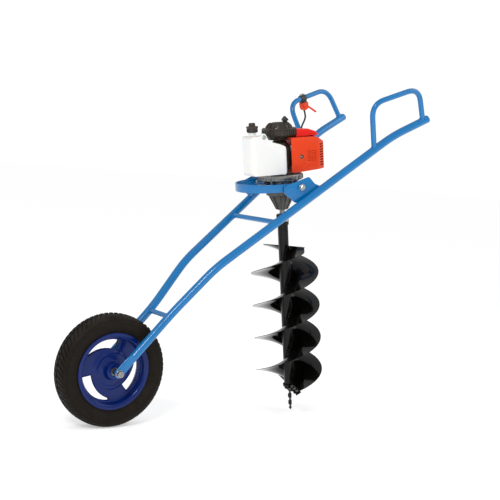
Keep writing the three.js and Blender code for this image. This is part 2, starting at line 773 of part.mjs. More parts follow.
// The rod's big end is left as an open saddle, clear of the crank pin's whole circle.
function connectingRod() {
  const bigEnd = bar(14, 95, 105).translate([CRANK_THROW, 0, 0]);
  const smallEnd = bar(8, 95, 105, 16).translate([GUDGEON_X, 0, 0]);
  const shank = block(CRANK_THROW, GUDGEON_X, -5, 5, 96, 104);
  const eyes = [
    bar(CRANK_THROW + CRANK_PIN_RADIUS + 2 * GAP, 90, 110, 32),
    bar(4 + GAP, 90, 110, 12).translate([GUDGEON_X, 0, 0]),
  ];
  return cut(join(bigEnd, smallEnd, shank), ...eyes);
}

const fanHousing = turned([
  [CRANK_RADIUS + 2, FAN_LOW],
  [46, FAN_LOW],
  [68, 200],
  [70, FAN_HIGH],
  [66, FAN_HIGH],
  [64, 201],
  [44, FAN_LOW + 4],
  [CRANK_RADIUS + 2, FAN_LOW + 4],
]);

function flywheel() {
  const disc = turned([
    [CRANK_RADIUS + GAP, 190],
    [40, 190],
    [58, 203],
    [58, 208],
    [20, 200],
    [CRANK_RADIUS + GAP, 200],
  ]);
  const blades = [];
  for (let turn = 0; turn < 360; turn += 45) {
    blades.push(block(30, 58, -1.5, 1.5, 198, 214).rotate([0, 0, turn]));
  }
  return join(disc, ...blades);
}

const ROPE_EYE_X = 32;
const REEL_HIGH = 244;

function recoilCover() {
  const dome = turned([
    [0, REEL_HIGH + 2],
    [35, REEL_HIGH + 2],
    [47, 236],
    [50, 228],
    [66, 226],
    [66, FAN_HIGH + GAP],
    [70, FAN_HIGH + GAP],
    [70, 228],
    [53, 230],
    [50, 237],
    [37, REEL_HIGH + 5],
    [0, REEL_HIGH + 5],
  ]);
  const post = bar(5, 230, REEL_HIGH + 3, 12);
  const eye = cone(11, 8, REEL_HIGH + 2, REEL_HIGH + 12, 16).translate([ROPE_EYE_X, 0, 0]);
  return cut(join(dome, post, eye), bar(2.5, 220, 270, 8).translate([ROPE_EYE_X, 0, 0]));
}

const starterReel = turned([
  [5 + GAP, 231],
  [29, 231],
  [29, 233],
  [22, 234],
  [22, REEL_HIGH - 5],
  [29, REEL_HIGH - 4],
  [29, REEL_HIGH - 2],
  [5 + GAP, REEL_HIGH - 2],
], 24);

// The grip is a wedge across the rope, wide at the foot.
const GRIP_TURN = -34;
const starterGrip = sidePlate([[-15, 0], [15, 0], [12, 6], [3, 16], [-3, 16], [-12, 6]], -26, 26)
  .rotate([0, 0, GRIP_TURN])
  .translate([ROPE_EYE_X, 0, REEL_HIGH + 12 + GAP]);

addNode(powerUnit, "crankcase", crankcase(), CAST_ALUMINIUM);
addNode(powerUnit, "cylinder", cylinder(), CAST_ALUMINIUM);
addNode(powerUnit, "crankshaft", crankshaft(), GEAR_STEEL);
addNode(powerUnit, "piston", piston(), CAST_ALUMINIUM);
addNode(powerUnit, "connecting_rod", connectingRod(), GEAR_STEEL);
addNode(powerUnit, "fan_housing", fanHousing, BLACK_PLASTIC);
addNode(powerUnit, "flywheel", flywheel(), CAST_ALUMINIUM);
addNode(powerUnit, "recoil_cover", recoilCover(), BLACK_PLASTIC);
addNode(powerUnit, "starter_reel", starterReel, BLACK_PLASTIC);
addNode(powerUnit, "starter_grip", starterGrip, BLACK_PLASTIC);

// ---- Fuel tank ----

const TANK_NEAR = -88;
const TANK_FAR = 0;
const TANK_WALL = 3;
const FILLER = [-160, -44];
const LUG = [-136, 203];

// The tank's plan wraps round the crankcase; its side view steps down towards the engine.
function tankBlank(inset) {
  const plan = [
    [-190 + inset, TANK_NEAR + 14],
    [-176, TANK_NEAR + inset],
    [-34, TANK_NEAR + inset],
    [-22 - inset, TANK_NEAR + 10],
    [-22 - inset, -56 - inset],
    [-60 - inset, -50],
    [-60 - inset, TANK_FAR - inset],
    [-178, TANK_FAR - inset],
    [-190 + inset, TANK_FAR - 12],
  ];
  const view = [
    [-190 + inset, 64],
    [-180, 52 + inset],
    [-34, 48 + inset],
    [-22 - inset, 58],
    [-22 - inset, 146],
    [-30, 158 - inset],
    [-58, 170 - inset],
    [-108, 184 - inset],
    [-118 - inset, 198],
    [-124, 208 - inset],
    [-180, 208 - inset],
    [-190 + inset, 198],
  ];
  return plate(plan, 40, 220).intersect(sidePlate(view, -120, 60));
}

function fuelTank() {
  const lug = alongY(bar(15, TANK_NEAR, TANK_NEAR + 12, 16)).translate([LUG[0], 0, LUG[1]]);
  const neck = bar(15, 200, 236).translate([...FILLER, 0]);
  const mouth = bar(11, 195, 240).translate([...FILLER, 0]);
  const boltHole = alongY(bar(4 + GAP, TANK_NEAR - 1, TANK_NEAR + 11, 10)).translate([LUG[0], 0, LUG[1]]);
  const lugCore = alongY(bar(8, TANK_NEAR, TANK_NEAR + 14, 12)).translate([LUG[0], 0, LUG[1]]);
  const outside = join(tankBlank(0), lug, neck);
  return cut(join(cut(outside, tankBlank(TANK_WALL), mouth), lugCore), boltHole);
}

const fuelCap = turned([
  [0, 240],
  [15 + GAP, 240],
  [15 + GAP, 222],
  [20, 222],
  [24, 242],
  [24, 246],
  [13, 248],
  [11, 260],
  [0, 260],
], 20).translate([...FILLER, 0]);

const nearBolt = (radius, length, x, z) =>
  bolt(radius, length).rotate([90, 0, 0]).translate([x, TANK_NEAR - GAP, z]);

addNode(powerUnit, "fuel_tank", fuelTank(), TANK_WHITE);
addNode(powerUnit, "tank_bolt", nearBolt(4, 8, ...LUG), BRIGHT_STEEL);
addNode(powerUnit, "fuel_cap", fuelCap, BLACK_PLASTIC);

// ---- Exhaust, carburettor and covers ----

const COVER_LEFT = -4;
const COVER_RIGHT = 170;
const COVER_BACK = -20;
const COVER_WALL = 2.5;
const COVER_BOLT = [44, 112];

// Inset by the wall and run past the back and the left, it leaves the cover open on both.
function coverBlank(inset, past) {
  const left = COVER_LEFT - past;
  const back = COVER_BACK + past;
  const plan = [
    [left, back],
    [left, TANK_NEAR + inset],
    [134, TANK_NEAR + inset],
    [COVER_RIGHT - inset, -72],
    [COVER_RIGHT - inset, back],
  ];
  const view = [
    [left, 51 + inset],
    [50, 51 + inset],
    [COVER_RIGHT - inset, 56 + inset],
    [COVER_RIGHT - inset, 164],
    [122, 187 - inset],
    [left, 190 - inset],
  ];
  return plate(plan, 40, 200).intersect(sidePlate(view, -120, 0));
}

const clearOfEngine = join(
  bar(CASE_RADIUS + 2, 40, FAN_LOW),
  cone(48, 72, FAN_LOW - 2, 200),
  bar(72, 199, 260),
);

function mufflerCover() {
  const shell = cut(coverBlank(0, 0), coverBlank(COVER_WALL, 1), clearOfEngine);
  const boltBore = alongY(bar(4 + GAP, -120, -60, 10)).translate([COVER_BOLT[0], 0, COVER_BOLT[1]]);
  return cut(shell, boltBore);
}

function muffler() {
  const box = cut(
    block(22, 130, -80, -50, 72, 160),
    block(25, 127, -77, -53, 75, 157),
  );
  const flange = alongY(bar(13, -52, -44 - 2 * GAP, 16)).translate([88, 0, CYLINDER_Z]);
  const bossStart = -80;
  const boss = alongY(bar(7, bossStart, -52, 12)).translate([COVER_BOLT[0], 0, COVER_BOLT[1]]);
  const bores = [
    alongY(bar(9, -60, -40, 16)).translate([88, 0, CYLINDER_Z]),
    alongY(bar(4 + GAP, bossStart - 1, -66, 10)).translate([COVER_BOLT[0], 0, COVER_BOLT[1]]),
  ];
  return cut(join(box, flange, boss), ...bores);
}

function engineShroud() {
  const view = (inset) => [
    [50 + inset, 150 - inset * 4],
    [50 + inset, 222 - inset],
    [112, 219 - inset],
    [150, 206 - inset],
    [168 - inset, 188],
    [172 - inset, 150 - inset * 4],
  ];
  const hollow = cut(sidePlate(view(0), -50, 52), sidePlate(view(3), -47, 49));
  const aboveCover = block(0, 200, -60, COVER_BACK + 2, 100, 190 + GAP);
  return cut(hollow, aboveCover, clearOfEngine);
}

const CARB = { x: 95, y: 64, half: 16 };
const CABLE_RADIUS = 4;

function carburettor() {
  const body = block(CARB.x - CARB.half, CARB.x + CARB.half, 52, 78, CYLINDER_Z - 16, CYLINDER_Z + 16);
  const intake = alongY(bar(12, 44 + 2 * GAP, 54, 16)).translate([CARB.x, 0, CYLINDER_Z]);
  const slideCap = bar(9, CYLINDER_Z + 15, CYLINDER_Z + 24, 12).translate([CARB.x, CARB.y, 0]);
  const throat = alongY(bar(8, 40, 90, 16)).translate([CARB.x, 0, CYLINDER_Z]);
  const cableBore = bar(CABLE_RADIUS + 1, CYLINDER_Z + 17, CYLINDER_Z + 30, 12);
  return cut(join(body, intake, slideCap), throat, cableBore.translate([CARB.x, CARB.y, 0]));
}

const airFilterCover = cut(
  block(60, 130, 78 + GAP, 116, 62, 140),
  block(63, 127, 77, 113, 65, 137),
);

function sparkPlug() {
  const stem = join(bar(4.5, HEAD_END - 12, HEAD_END + 4, 10), bar(10, HEAD_END + GAP, HEAD_END + 8, 6));
  const cap = join(bar(8, HEAD_END + 7, HEAD_END + 26, 12), bar(5, HEAD_END + 25, HEAD_END + 28, 12));
  return onCylinder(join(stem, cap));
}

addNode(powerUnit, "muffler_cover", mufflerCover(), COVER_ORANGE);
addNode(powerUnit, "cover_bolt", nearBolt(4, 20, ...COVER_BOLT), BRIGHT_STEEL);
addNode(powerUnit, "muffler", muffler(), CAST_DARK);
addNode(powerUnit, "engine_shroud", engineShroud(), SHROUD_RED);
addNode(powerUnit, "carburettor", carburettor(), CAST_ALUMINIUM);
addNode(powerUnit, "air_filter_cover", airFilterCover, BLACK_PLASTIC);
addNode(powerUnit, "spark_plug", sparkPlug(), BLACK_PLASTIC);

// ---- Auger ----

function augerTube() {
  const tube = turned([
    [OUTPUT_SHAFT_RADIUS + GAP, AUGER_TUBE_TOP],
    [OUTPUT_SHAFT_RADIUS + GAP, OUTPUT_SHAFT_FOOT - 8],
    [AUGER_TUBE_RADIUS - 3, OUTPUT_SHAFT_FOOT - 16],
    [AUGER_TUBE_RADIUS - 3, AUGER_TUBE_FOOT],
    [AUGER_TUBE_RADIUS, AUGER_TUBE_FOOT],
    [AUGER_TUBE_RADIUS, AUGER_TUBE_TOP],
  ]);
  return cut(tube, couplingBore);
}

// One start of the flight: a flat ribbon wound to the right round the tube.
function flightRibbon() {
  const rise = FLIGHT_TOP - FLIGHT_FOOT;
  const inner = AUGER_TUBE_RADIUS + 3 * GAP;
  const ribbon = new THREE.BoxGeometry(FLIGHT_RADIUS - inner, FLIGHT_THICKNESS, rise, 1, 1, 36);
  const corner = ribbon.getAttribute("position");
  for (let i = 0; i < corner.count; i++) {
    const radius = corner.getX(i) + (FLIGHT_RADIUS + inner) / 2;
    const climb = corner.getZ(i) + rise / 2;
    const angle = (2 * Math.PI * FLIGHT_TURNS * climb) / rise;
    const height = FLIGHT_FOOT + climb + corner.getY(i);
    corner.setXYZ(i, radius * Math.cos(angle), radius * Math.sin(angle), height);
  }
  return solid(ribbon).rotate([0, 0, FLIGHT_FOOT_DEGREES]);
}

// A ring round the auger's tube.
function collar(outer, low, high) {
  const bore = bar(AUGER_TUBE_RADIUS + GAP, low - 1, high + 1, 24);
  return cut(bar(outer, low, high, 24), bore);
}

// Two starts, half a turn apart, on a common collar near the foot.
function augerFlight() {
  const start = flightRibbon();
  const hub = collar(AUGER_TUBE_RADIUS + 3, FLIGHT_FOOT + 14, FLIGHT_FOOT + 44);
  return join(start, start.rotate([0, 0, 180]), hub);
}

// Each start has a toothed blade that slopes down ahead of its foot.
function cuttingBlades() {
  const outline = [[24, 8], [139, 8], [141, -16], [112, -12], [78, -17], [44, -12], [24, -15]];
  const foot = FLIGHT_FOOT - 9;
  const blade = plate(outline, -3, 3)
    .rotate([24, 0, 0])
    .rotate([0, 0, FLIGHT_FOOT_DEGREES])
    .translate([0, 0, foot]);
  return join(blade, blade.rotate([0, 0, 180]), collar(AUGER_TUBE_RADIUS + 6, foot - 9, foot + 4));
}

const PILOT_TOP = -862;
const PILOT_FOOT = -950;
const PILOT_TIP = -964;
const PILOT_WIDTH = 18;
const PILOT_THICKNESS = 6;
const PILOT_TURNS = 1.5;

// The pilot bit: a flat bar twisted to the right and drawn to a point.
function pilotBit() {
  const plug = bar(AUGER_TUBE_RADIUS - 3 - GAP, AUGER_TUBE_FOOT + GAP, AUGER_TUBE_FOOT + 24);
  const flange = bar(AUGER_TUBE_RADIUS, AUGER_TUBE_FOOT - 8, AUGER_TUBE_FOOT - GAP);
  const neck = bar(10, AUGER_TUBE_FOOT - 14, AUGER_TUBE_FOOT + 2);
  const length = PILOT_TOP - PILOT_FOOT;
  const strip = new THREE.BoxGeometry(PILOT_WIDTH, PILOT_THICKNESS, length, 1, 1, 18);
  const corner = strip.getAttribute("position");
  for (let i = 0; i < corner.count; i++) {
    const climb = corner.getZ(i) + length / 2;
    const angle = (2 * Math.PI * PILOT_TURNS * climb) / length;
    const [x, y] = [corner.getX(i), corner.getY(i)];
    corner.setXYZ(
      i,
      x * Math.cos(angle) - y * Math.sin(angle),
      x * Math.sin(angle) + y * Math.cos(angle),
      PILOT_FOOT + climb,
    );
  }
  const tip = cone(0, 7, PILOT_TIP, PILOT_FOOT + 2, 12);
  return join(plug, flange, neck, solid(strip), tip);
}

function couplingBolt() {
  const shank = bolt(4, 2 * AUGER_TUBE_RADIUS + 12).translate([0, 0, AUGER_TUBE_RADIUS + GAP]);
  const nut = bar(7.5, -AUGER_TUBE_RADIUS - GAP - 7, -AUGER_TUBE_RADIUS - GAP, 6);
  return alongY(join(shank, nut)).translate([0, 0, COUPLING_BOLT_Z]);
}

addNode(powerUnit, "auger_tube", augerTube(), AUGER_BLACK);
addNode(powerUnit, "auger_flight", augerFlight(), AUGER_BLACK);
addNode(powerUnit, "cutting_blade", cuttingBlades(), AUGER_BLACK);
addNode(powerUnit, "pilot_bit", pilotBit(), AUGER_BLACK);
addNode(powerUnit, "coupling_bolt", couplingBolt(), BRIGHT_STEEL);

// ---- Throttle ----

const THROTTLE_SHARE = 0.345; // how far along the right loop's top it is clamped
const LEVER_PIVOT = [8, 0, -36];

// Its axes: X along the loop's top, Z up.
const throttle = new THREE.Group();
const [loopFront, loopRear] = LOOP_CORNERS.slice(1, 3).map((corner) => new THREE.Vector3(...corner));
const throttleAlong = loopRear.clone().sub(loopFront).normalize();
const throttleAcross = new THREE.Vector3(0, 0, 1).cross(throttleAlong).normalize();
const throttleUp = throttleAlong.clone().cross(throttleAcross);
throttle.matrix.makeBasis(throttleAlong, throttleAcross, throttleUp);
throttle.matrix.setPosition(loopFront.clone().lerp(loopRear, THROTTLE_SHARE));
throttle.matrixAutoUpdate = false;
auger.add(throttle);

const throttleClamp = cut(
  join(alongX(bar(16, -13, 13, 20)), block(-10, 10, -16, 16, -19, 0)),
  alongX(bar(LOOP_RADIUS + GAP, -40, 40, 16)),
);

function throttleHousing() {
  const outline = [[-14, -20], [16, -20], [18, -30], [14, -46], [4, -52], [-10, -52], [-16, -40]];
  const body = sidePlate(outline, -13, 13);
  const slot = block(LEVER_PIVOT[0] - 9, 40, -4, 4, LEVER_PIVOT[2] - 20, LEVER_PIVOT[2] + 12);
  const cableBore = bar(CABLE_RADIUS + 1, -60, -44, 12).translate([-4, 0, 0]);
  return cut(body, slot, cableBore);
}

// The lever slopes down under the loop and is drawn up towards it.
const throttleLever = join(
  alongY(bar(6, -3, 3, 12)).translate(LEVER_PIVOT),
  sidePlate([[9, -31], [30, -44], [62, -74], [65, -80], [60, -82], [28, -52], [5, -41]], -3, 3),
);

// The cable runs from the throttle to the carburettor with slack for the cradle's tilt.
function throttleCable() {
  const underThrottle = (z) => new THREE.Vector3(-4, 0, z).applyMatrix4(throttle.matrix);
  powerUnit.updateMatrixWorld(true);
  const end = new THREE.Vector3(CARB.x, CARB.y, CYLINDER_Z + 18).applyMatrix4(powerUnit.matrixWorld);
  const route = [
    underThrottle(-47),
    underThrottle(-80),
    new THREE.Vector3(1068, 232, 1104),
    new THREE.Vector3(1016, 186, 1066),
    new THREE.Vector3(964, 156, 1052),
    new THREE.Vector3(918, 108, 1054),
    end.clone().add(new THREE.Vector3(6, 10, 40)),
    end.clone().add(new THREE.Vector3(0, 0, 16)),
    end,
  ];
  return tubeAlong(new THREE.CatmullRomCurve3(route), CABLE_RADIUS, 0, 8, 28);
}

addNode(throttle, "throttle_clamp", throttleClamp, BLACK_PLASTIC);
addNode(throttle, "throttle_housing", throttleHousing(), COVER_ORANGE);
addNode(throttle, "throttle_lever", throttleLever, COVER_ORANGE);
addNode(auger, "throttle_cable", throttleCable(), BLACK_PLASTIC);

export default auger;
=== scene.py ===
"""A petrol ice auger on a one-wheeled barrow frame, built round its CAD frame as an add-on would."""
import json
import math

import bmesh
import bpy
from bpy.props import FloatProperty, FloatVectorProperty, IntProperty, PointerProperty
from mathutils import Matrix, Vector


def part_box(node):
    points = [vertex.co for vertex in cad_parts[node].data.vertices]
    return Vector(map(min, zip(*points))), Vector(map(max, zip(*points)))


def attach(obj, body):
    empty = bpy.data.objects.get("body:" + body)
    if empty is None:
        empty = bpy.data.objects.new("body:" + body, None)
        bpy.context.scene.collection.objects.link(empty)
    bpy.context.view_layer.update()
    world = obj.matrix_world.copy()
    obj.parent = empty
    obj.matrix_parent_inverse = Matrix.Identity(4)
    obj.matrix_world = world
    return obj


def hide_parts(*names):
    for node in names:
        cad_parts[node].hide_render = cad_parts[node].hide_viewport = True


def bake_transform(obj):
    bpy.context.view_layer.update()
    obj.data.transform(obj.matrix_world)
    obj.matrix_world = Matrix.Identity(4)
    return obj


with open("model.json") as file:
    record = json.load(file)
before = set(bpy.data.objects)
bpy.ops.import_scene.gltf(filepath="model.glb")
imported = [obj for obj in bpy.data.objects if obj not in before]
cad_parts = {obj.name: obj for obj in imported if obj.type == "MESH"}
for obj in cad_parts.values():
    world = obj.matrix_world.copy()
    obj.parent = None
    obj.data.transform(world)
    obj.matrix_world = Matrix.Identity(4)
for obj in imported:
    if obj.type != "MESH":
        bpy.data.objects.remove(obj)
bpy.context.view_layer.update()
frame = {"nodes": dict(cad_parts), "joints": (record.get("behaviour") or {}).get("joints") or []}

bl_info = {
    "name": "Barrow Ice Auger",
    "version": (1, 0, 0),
    "blender": (4, 5, 0),
    "location": "View3D > Sidebar > Auger",
    "description": "Builds a petrol ice auger on a one-wheeled barrow frame",
    "category": "Add Mesh",
}

# ---- The frames that pieces are drawn in: all shapes below are in millimetres ----

MM = Matrix.Scale(0.001, 4)
JOINTS = {joint["name"]: joint for joint in frame["joints"]}


def unit_frame():
    """The power unit's own axes: Z up the auger's axis, Y to the operator's right."""
    up = Vector(JOINTS["auger_spin"]["axis"])
    right = Vector((0, 1, 0))
    axes = Matrix((right.cross(up), right, up)).transposed().to_4x4()
    axes.translation = Vector(JOINTS["auger_spin"]["pos_m"])
    return axes @ MM


UNIT = unit_frame()
WHEEL = Matrix.Translation(JOINTS["wheel_spin"]["pos_m"]) @ MM
SIDES = {"left": -1, "right": 1}

# ---- Frame sizes ----

RAIL_RADIUS = 16
LOOP_RADIUS = 11
RUNG_RADIUS = 10
RAIL_CORNERS = [(0, 76, 215), (229, 76, 418), (399, 115, 579), (1171, 246, 1071), (1330, 273, 1137)]
FORK_ANGLE = math.atan2(418 - 215, 229)
LOOP_LEAN = math.tan(math.radians(14))
LOOP_SIDE_VIEW = [(1084, None), (1030, 1199), (1256, 1264), (1310, None)]
LOOP_ROUNDING = 60
RUNG_PLACES = {"lower_rung": 214, "upper_rung": 655}
PIVOT = Vector(JOINTS["cradle_tilt"]["pos_m"]) * 1000


def rail_at(x):
    """The right rail's centre line at a place along X."""
    for low, high in zip(RAIL_CORNERS, RAIL_CORNERS[1:]):
        if x <= high[0]:
            break
    share = (x - low[0]) / (high[0] - low[0])
    return Vector(low).lerp(Vector(high), share)


def loop_corners():
    """The right handle loop's corners, leaning outwards from the rail."""
    corners = []
    for x, z in LOOP_SIDE_VIEW:
        foot = rail_at(x)
        height = foot.z if z is None else z
        corners.append(Vector((x, foot.y + LOOP_LEAN * (height - foot.z), height)))
    return corners


def throttle_frame():
    """The throttle's axes: X along the right loop's top, Z up."""
    front, rear = loop_corners()[1:3]
    along = (rear - front).normalized()
    across = -Vector(JOINTS["throttle_squeeze"]["axis"])
    axes = Matrix((along, across, along.cross(across))).transposed().to_4x4()
    axes.translation = front.lerp(rear, 0.345) * 0.001
    return axes @ MM


THROTTLE = throttle_frame()

# ---- Shapes: each is a pair of lists, points and faces ----


def turn(degrees, axis="Z"):
    return Matrix.Rotation(math.radians(degrees), 4, axis)


def shift(x, y, z):
    return Matrix.Translation((x, y, z))


def moved(shape, matrix):
    return [tuple(matrix @ Vector(point)) for point in shape[0]], shape[1]


def merged(*shapes):
    points, faces = [], []
    for shape_points, shape_faces in shapes:
        start = len(points)
        points += shape_points
        faces += [[start + corner for corner in face] for face in shape_faces]
    return points, faces


def turned(outline, sides=48):
    """A shape turned round Z from (radius, height) points, closed unless it ends on the axis."""
    points, faces, rings = [], [], []
    for radius, height in outline:
        start = len(points)
        if radius < 1e-6:
            rings.append([start])
            points.append((0, 0, height))
            continue
        rings.append(range(start, start + sides))
        for i in range(sides):
            angle = 2 * math.pi * i / sides
            points.append((radius * math.cos(angle), radius * math.sin(angle), height))
    ends = rings[1:] + ([rings[0]] if outline[0][0] > 0 else [])
    for low, high in zip(rings, ends):
        for i in range(sides):
            j = (i + 1) % sides
            quad = [low[i % len(low)], low[j % len(low)], high[j % len(high)], high[i % len(high)]]
            corners = list(dict.fromkeys(quad))
            if len(corners) > 2:
                faces.append(corners)
    return points, faces


def rod(radius, low, high, sides=32, chamfer=0.6):
    """A round bar along Z with its end edges eased."""
    inner = radius - chamfer
    return turned([(0, low), (inner, low), (radius, low + chamfer), (radius, high - chamfer),
                   (inner, high), (0, high)], sides)


def slab(outline, low, high):
    count = len(outline)
    points = [(x, y, low) for x, y in outline] + [(x, y, high) for x, y in outline]
    faces = [list(range(count))[::-1], list(range(count, 2 * count))]
    for i in range(count):
        j = (i + 1) % count
        faces.append([i, j, count + j, count + i])
    return points, faces


def side_slab(outline, left, right):
    """An upright slab: an outline in X and Z, from y = left to right."""
    return moved(slab(outline, -right, -left), turn(90, "X"))


def box(x0, x1, y0, y1, z0, z1):
    return slab([(x0, y0), (x1, y0), (x1, y1), (x0, y1)], z0, z1)


def arc(radius, start, end, steps, x=0.0, y=0.0):
    points = []
    for i in range(steps + 1):
        angle = math.radians(start + (end - start) * i / steps)
        points.append((x + radius * math.cos(angle), y + radius * math.sin(angle)))
    return points


def filleted(corners, radius, steps=4):
    """An outline whose corners are rounded."""
    points = []
    for i, corner in enumerate(corners):
        at = Vector(corner)
        back = Vector(corners[i - 1]) - at
        ahead = Vector(corners[(i + 1) % len(corners)]) - at
        reach = min(radius, back.length * 0.45, ahead.length * 0.45)
        into, out = at + back.normalized() * reach, at + ahead.normalized() * reach
        for k in range(steps + 1):
            t = k / steps
            points.append(tuple(into * (1 - t) ** 2 + at * 2 * t * (1 - t) + out * t * t))
    return points


def bent(corners, rounding, steps=9):
    """Points along straight runs whose corners are bent."""
    at = [Vector(corner) for corner in corners]
    points = [at[0]]
    for before, corner, after in zip(at, at[1:], at[2:]):
        into = corner + (before - corner).normalized() * rounding
        out = corner + (after - corner).normalized() * rounding
        for k in range(steps + 1):
            t = k / steps
            points.append(into * (1 - t) ** 2 + corner * 2 * t * (1 - t) + out * t * t)
    return points + [at[-1]]


def flowing(corners, steps=6):
    """Points on a smooth curve through every corner."""
    at = [Vector(corner) for corner in corners]
    at = [at[0] * 2 - at[1]] + at + [at[-1] * 2 - at[-2]]
    points = []
    for a, b, c, d in zip(at, at[1:], at[2:], at[3:]):
        knots = [0.0]
        for low, high in ((a, b), (b, c), (c, d)):
            knots.append(knots[-1] + max((high - low).length, 1e-6) ** 0.5)
        t0, t1, t2, t3 = knots
        for k in range(steps):
            t = t1 + (t2 - t1) * k / steps
            first = a.lerp(b, (t - t0) / (t1 - t0))
            second = b.lerp(c, (t - t1) / (t2 - t1))
            third = c.lerp(d, (t - t2) / (t3 - t2))
            low = first.lerp(second, (t - t0) / (t2 - t0))
            high = second.lerp(third, (t - t1) / (t3 - t1))
            points.append(low.lerp(high, (t - t1) / (t2 - t1)))
    return points + [at[-2]]


WASHER_THICKNESS = 1.6


def hex_bolt(radius, height, length=4.0, washer=0.0):
    """A hexagon head on z = 0 with its edges eased, on a shank and perhaps a washer."""
    base = WASHER_THICKNESS if washer else 0.0
    head = turned([(0, base), (radius, base), (radius, base + height * 0.8),
                   (radius * 0.86, base + height), (0, base + height)], 6)
    shapes = [head, rod(radius * 0.5, -length, 0.5, 16, 0.2)]
    if washer:
        shapes.append(rod(washer, 0, base, 32, 0.4))
    return merged(*shapes)


# ---- Objects and modifiers ----


def made(shape, name="work"):
    mesh = bpy.data.meshes.new(name)
    mesh.from_pydata(shape[0], [], shape[1])
    obj = bpy.data.objects.new(name, mesh)
    bpy.context.scene.collection.objects.link(obj)
    return obj


def drawn_path(points, closed=False):
    """An object that holds only a line through the points."""
    mesh = bpy.data.meshes.new("path")
    edges = [(i, i + 1) for i in range(len(points) - 1)]
    if closed:
        edges.append((len(points) - 1, 0))
    mesh.from_pydata([tuple(point) for point in points], edges, [])
    obj = bpy.data.objects.new("path", mesh)
    bpy.context.scene.collection.objects.link(obj)
    return obj


def applied(obj):
    """Turns an object's modifiers into a plain mesh."""
    bpy.context.view_layer.update()
    graph = bpy.context.evaluated_depsgraph_get()
    mesh = bpy.data.meshes.new_from_object(obj.evaluated_get(graph))
    obj.modifiers.clear()
    obj.data = mesh
    if not mesh.polygons:
        raise RuntimeError(f"{obj.name} came out empty")
    return obj


def carved(obj, *cutters, operation="DIFFERENCE"):
    for cutter in cutters:
        modifier = obj.modifiers.new("Carve", "BOOLEAN")
        modifier.object = cutter
        modifier.operation = operation
        modifier.solver = "MANIFOLD"
    applied(obj)
    for cutter in cutters:
        bpy.data.objects.remove(cutter)
    return obj


def eased(obj, width, segments=2, angle=30):
    """Rounds an object's edges."""
    modifier = obj.modifiers.new("Ease", "BEVEL")
    modifier.width = width
    modifier.segments = segments
    modifier.limit_method = "ANGLE"
    modifier.angle_limit = math.radians(angle)
    return applied(obj)


def moulded(obj, voxel, passes):
    """Melts an object's edges together, as in a blown or moulded part."""
    remesh = obj.modifiers.new("Melt", "REMESH")
    remesh.mode = "VOXEL"
    remesh.voxel_size = voxel
    smooth = obj.modifiers.new("Relax", "SMOOTH")
    smooth.factor = 0.5
    smooth.iterations = passes
    return applied(obj)


def grown(obj, tree, values):
    """Runs a Geometry Nodes tree on an object and keeps the result as a plain mesh."""
    modifier = obj.modifiers.new(tree.name, "NODES")
    modifier.node_group = tree
    for item in tree.interface.items_tree:
        if item.item_type == "SOCKET" and item.in_out == "INPUT" and item.name in values:
            modifier[item.identifier] = values[item.name]
    return applied(obj)


def shape_of(obj):
    """An object's mesh as a shape; the object goes."""
    points = [tuple(vertex.co) for vertex in obj.data.vertices]
    faces = [list(face.vertices) for face in obj.data.polygons]
    bpy.data.objects.remove(obj)
    return points, faces


def joined(*objects):
    """One object with all the objects' meshes."""
    return made(merged(*[shape_of(obj) for obj in objects]))


def finished(obj, name, material, body, slot, nodes=(), matrix=MM, angle=38, blend=None):
    """Places a piece in the frame, shades it and hands it to its body."""
    mesh = obj.data
    mesh.transform(matrix)
    shape = bmesh.new()
    shape.from_mesh(mesh)
    bmesh.ops.remove_doubles(shape, verts=shape.verts, dist=1e-6)
    bmesh.ops.recalc_face_normals(shape, faces=shape.faces)
    shape.to_mesh(mesh)
    shape.free()
    mesh.shade_smooth()
    mesh.set_sharp_from_angle(angle=math.radians(angle))
    mesh.materials.clear()
    mesh.materials.append(material)
    for face in mesh.polygons:
        face.material_index = 0
    obj.name = name
    mesh.name = name
    if blend:
        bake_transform(obj)
    else:
        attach(obj, body)
    if nodes:
        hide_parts(*nodes)
    return obj


# ---- Node trees ----


def put(tree, kind, inputs=(), **settings):
    """Adds a node; an input is given a value, or a link from a socket."""
    node = tree.nodes.new(kind)
    for key, value in settings.items():
        setattr(node, key, value)
    for key, value in dict(inputs).items():
        if isinstance(value, bpy.types.NodeSocket):
            tree.links.new(value, node.inputs[key])
        else:
            node.inputs[key].default_value = value
    return node


def maths(tree, operation, *values, clamp=False):
    node = put(tree, "ShaderNodeMath", dict(enumerate(values)), operation=operation)
    node.use_clamp = clamp
    return node.outputs[0]


def between(tree, value, low, high, smooth=False):
    """A value brought to 0 at low and 1 at high."""
    kind = "SMOOTHSTEP" if smooth else "LINEAR"
    inputs = {"Value": value, "From Min": low, "From Max": high}
    return put(tree, "ShaderNodeMapRange", inputs, interpolation_type=kind).outputs[0]


def tinted(tree, factor, first, second, mode="MIX"):
    node = put(tree, "ShaderNodeMix", data_type="RGBA", blend_type=mode)
    for index, value in ((0, factor), (6, first), (7, second)):
        if isinstance(value, bpy.types.NodeSocket):
            tree.links.new(value, node.inputs[index])
        else:
            node.inputs[index].default_value = value
    return node.outputs[2]


def node_group(name, kind, inputs, outputs):
    """A node group with named sockets, its input sockets and its output sockets."""
    tree = bpy.data.node_groups.new(name, kind)
    for label, socket, default in inputs:
        item = tree.interface.new_socket(label, in_out="INPUT", socket_type=socket)
        if default is not None:
            item.default_value = default
    for label, socket in outputs:
        tree.interface.new_socket(label, in_out="OUTPUT", socket_type=socket)
    given = tree.nodes.new("NodeGroupInput").outputs
    result = tree.nodes.new("NodeGroupOutput").inputs
    return tree, given, result


FLOAT, COUNT, COLOUR = "NodeSocketFloat", "NodeSocketInt", "NodeSocketColor"
VECTOR, SHAPE, FINISH = "NodeSocketVector", "NodeSocketGeometry", "NodeSocketMaterial"


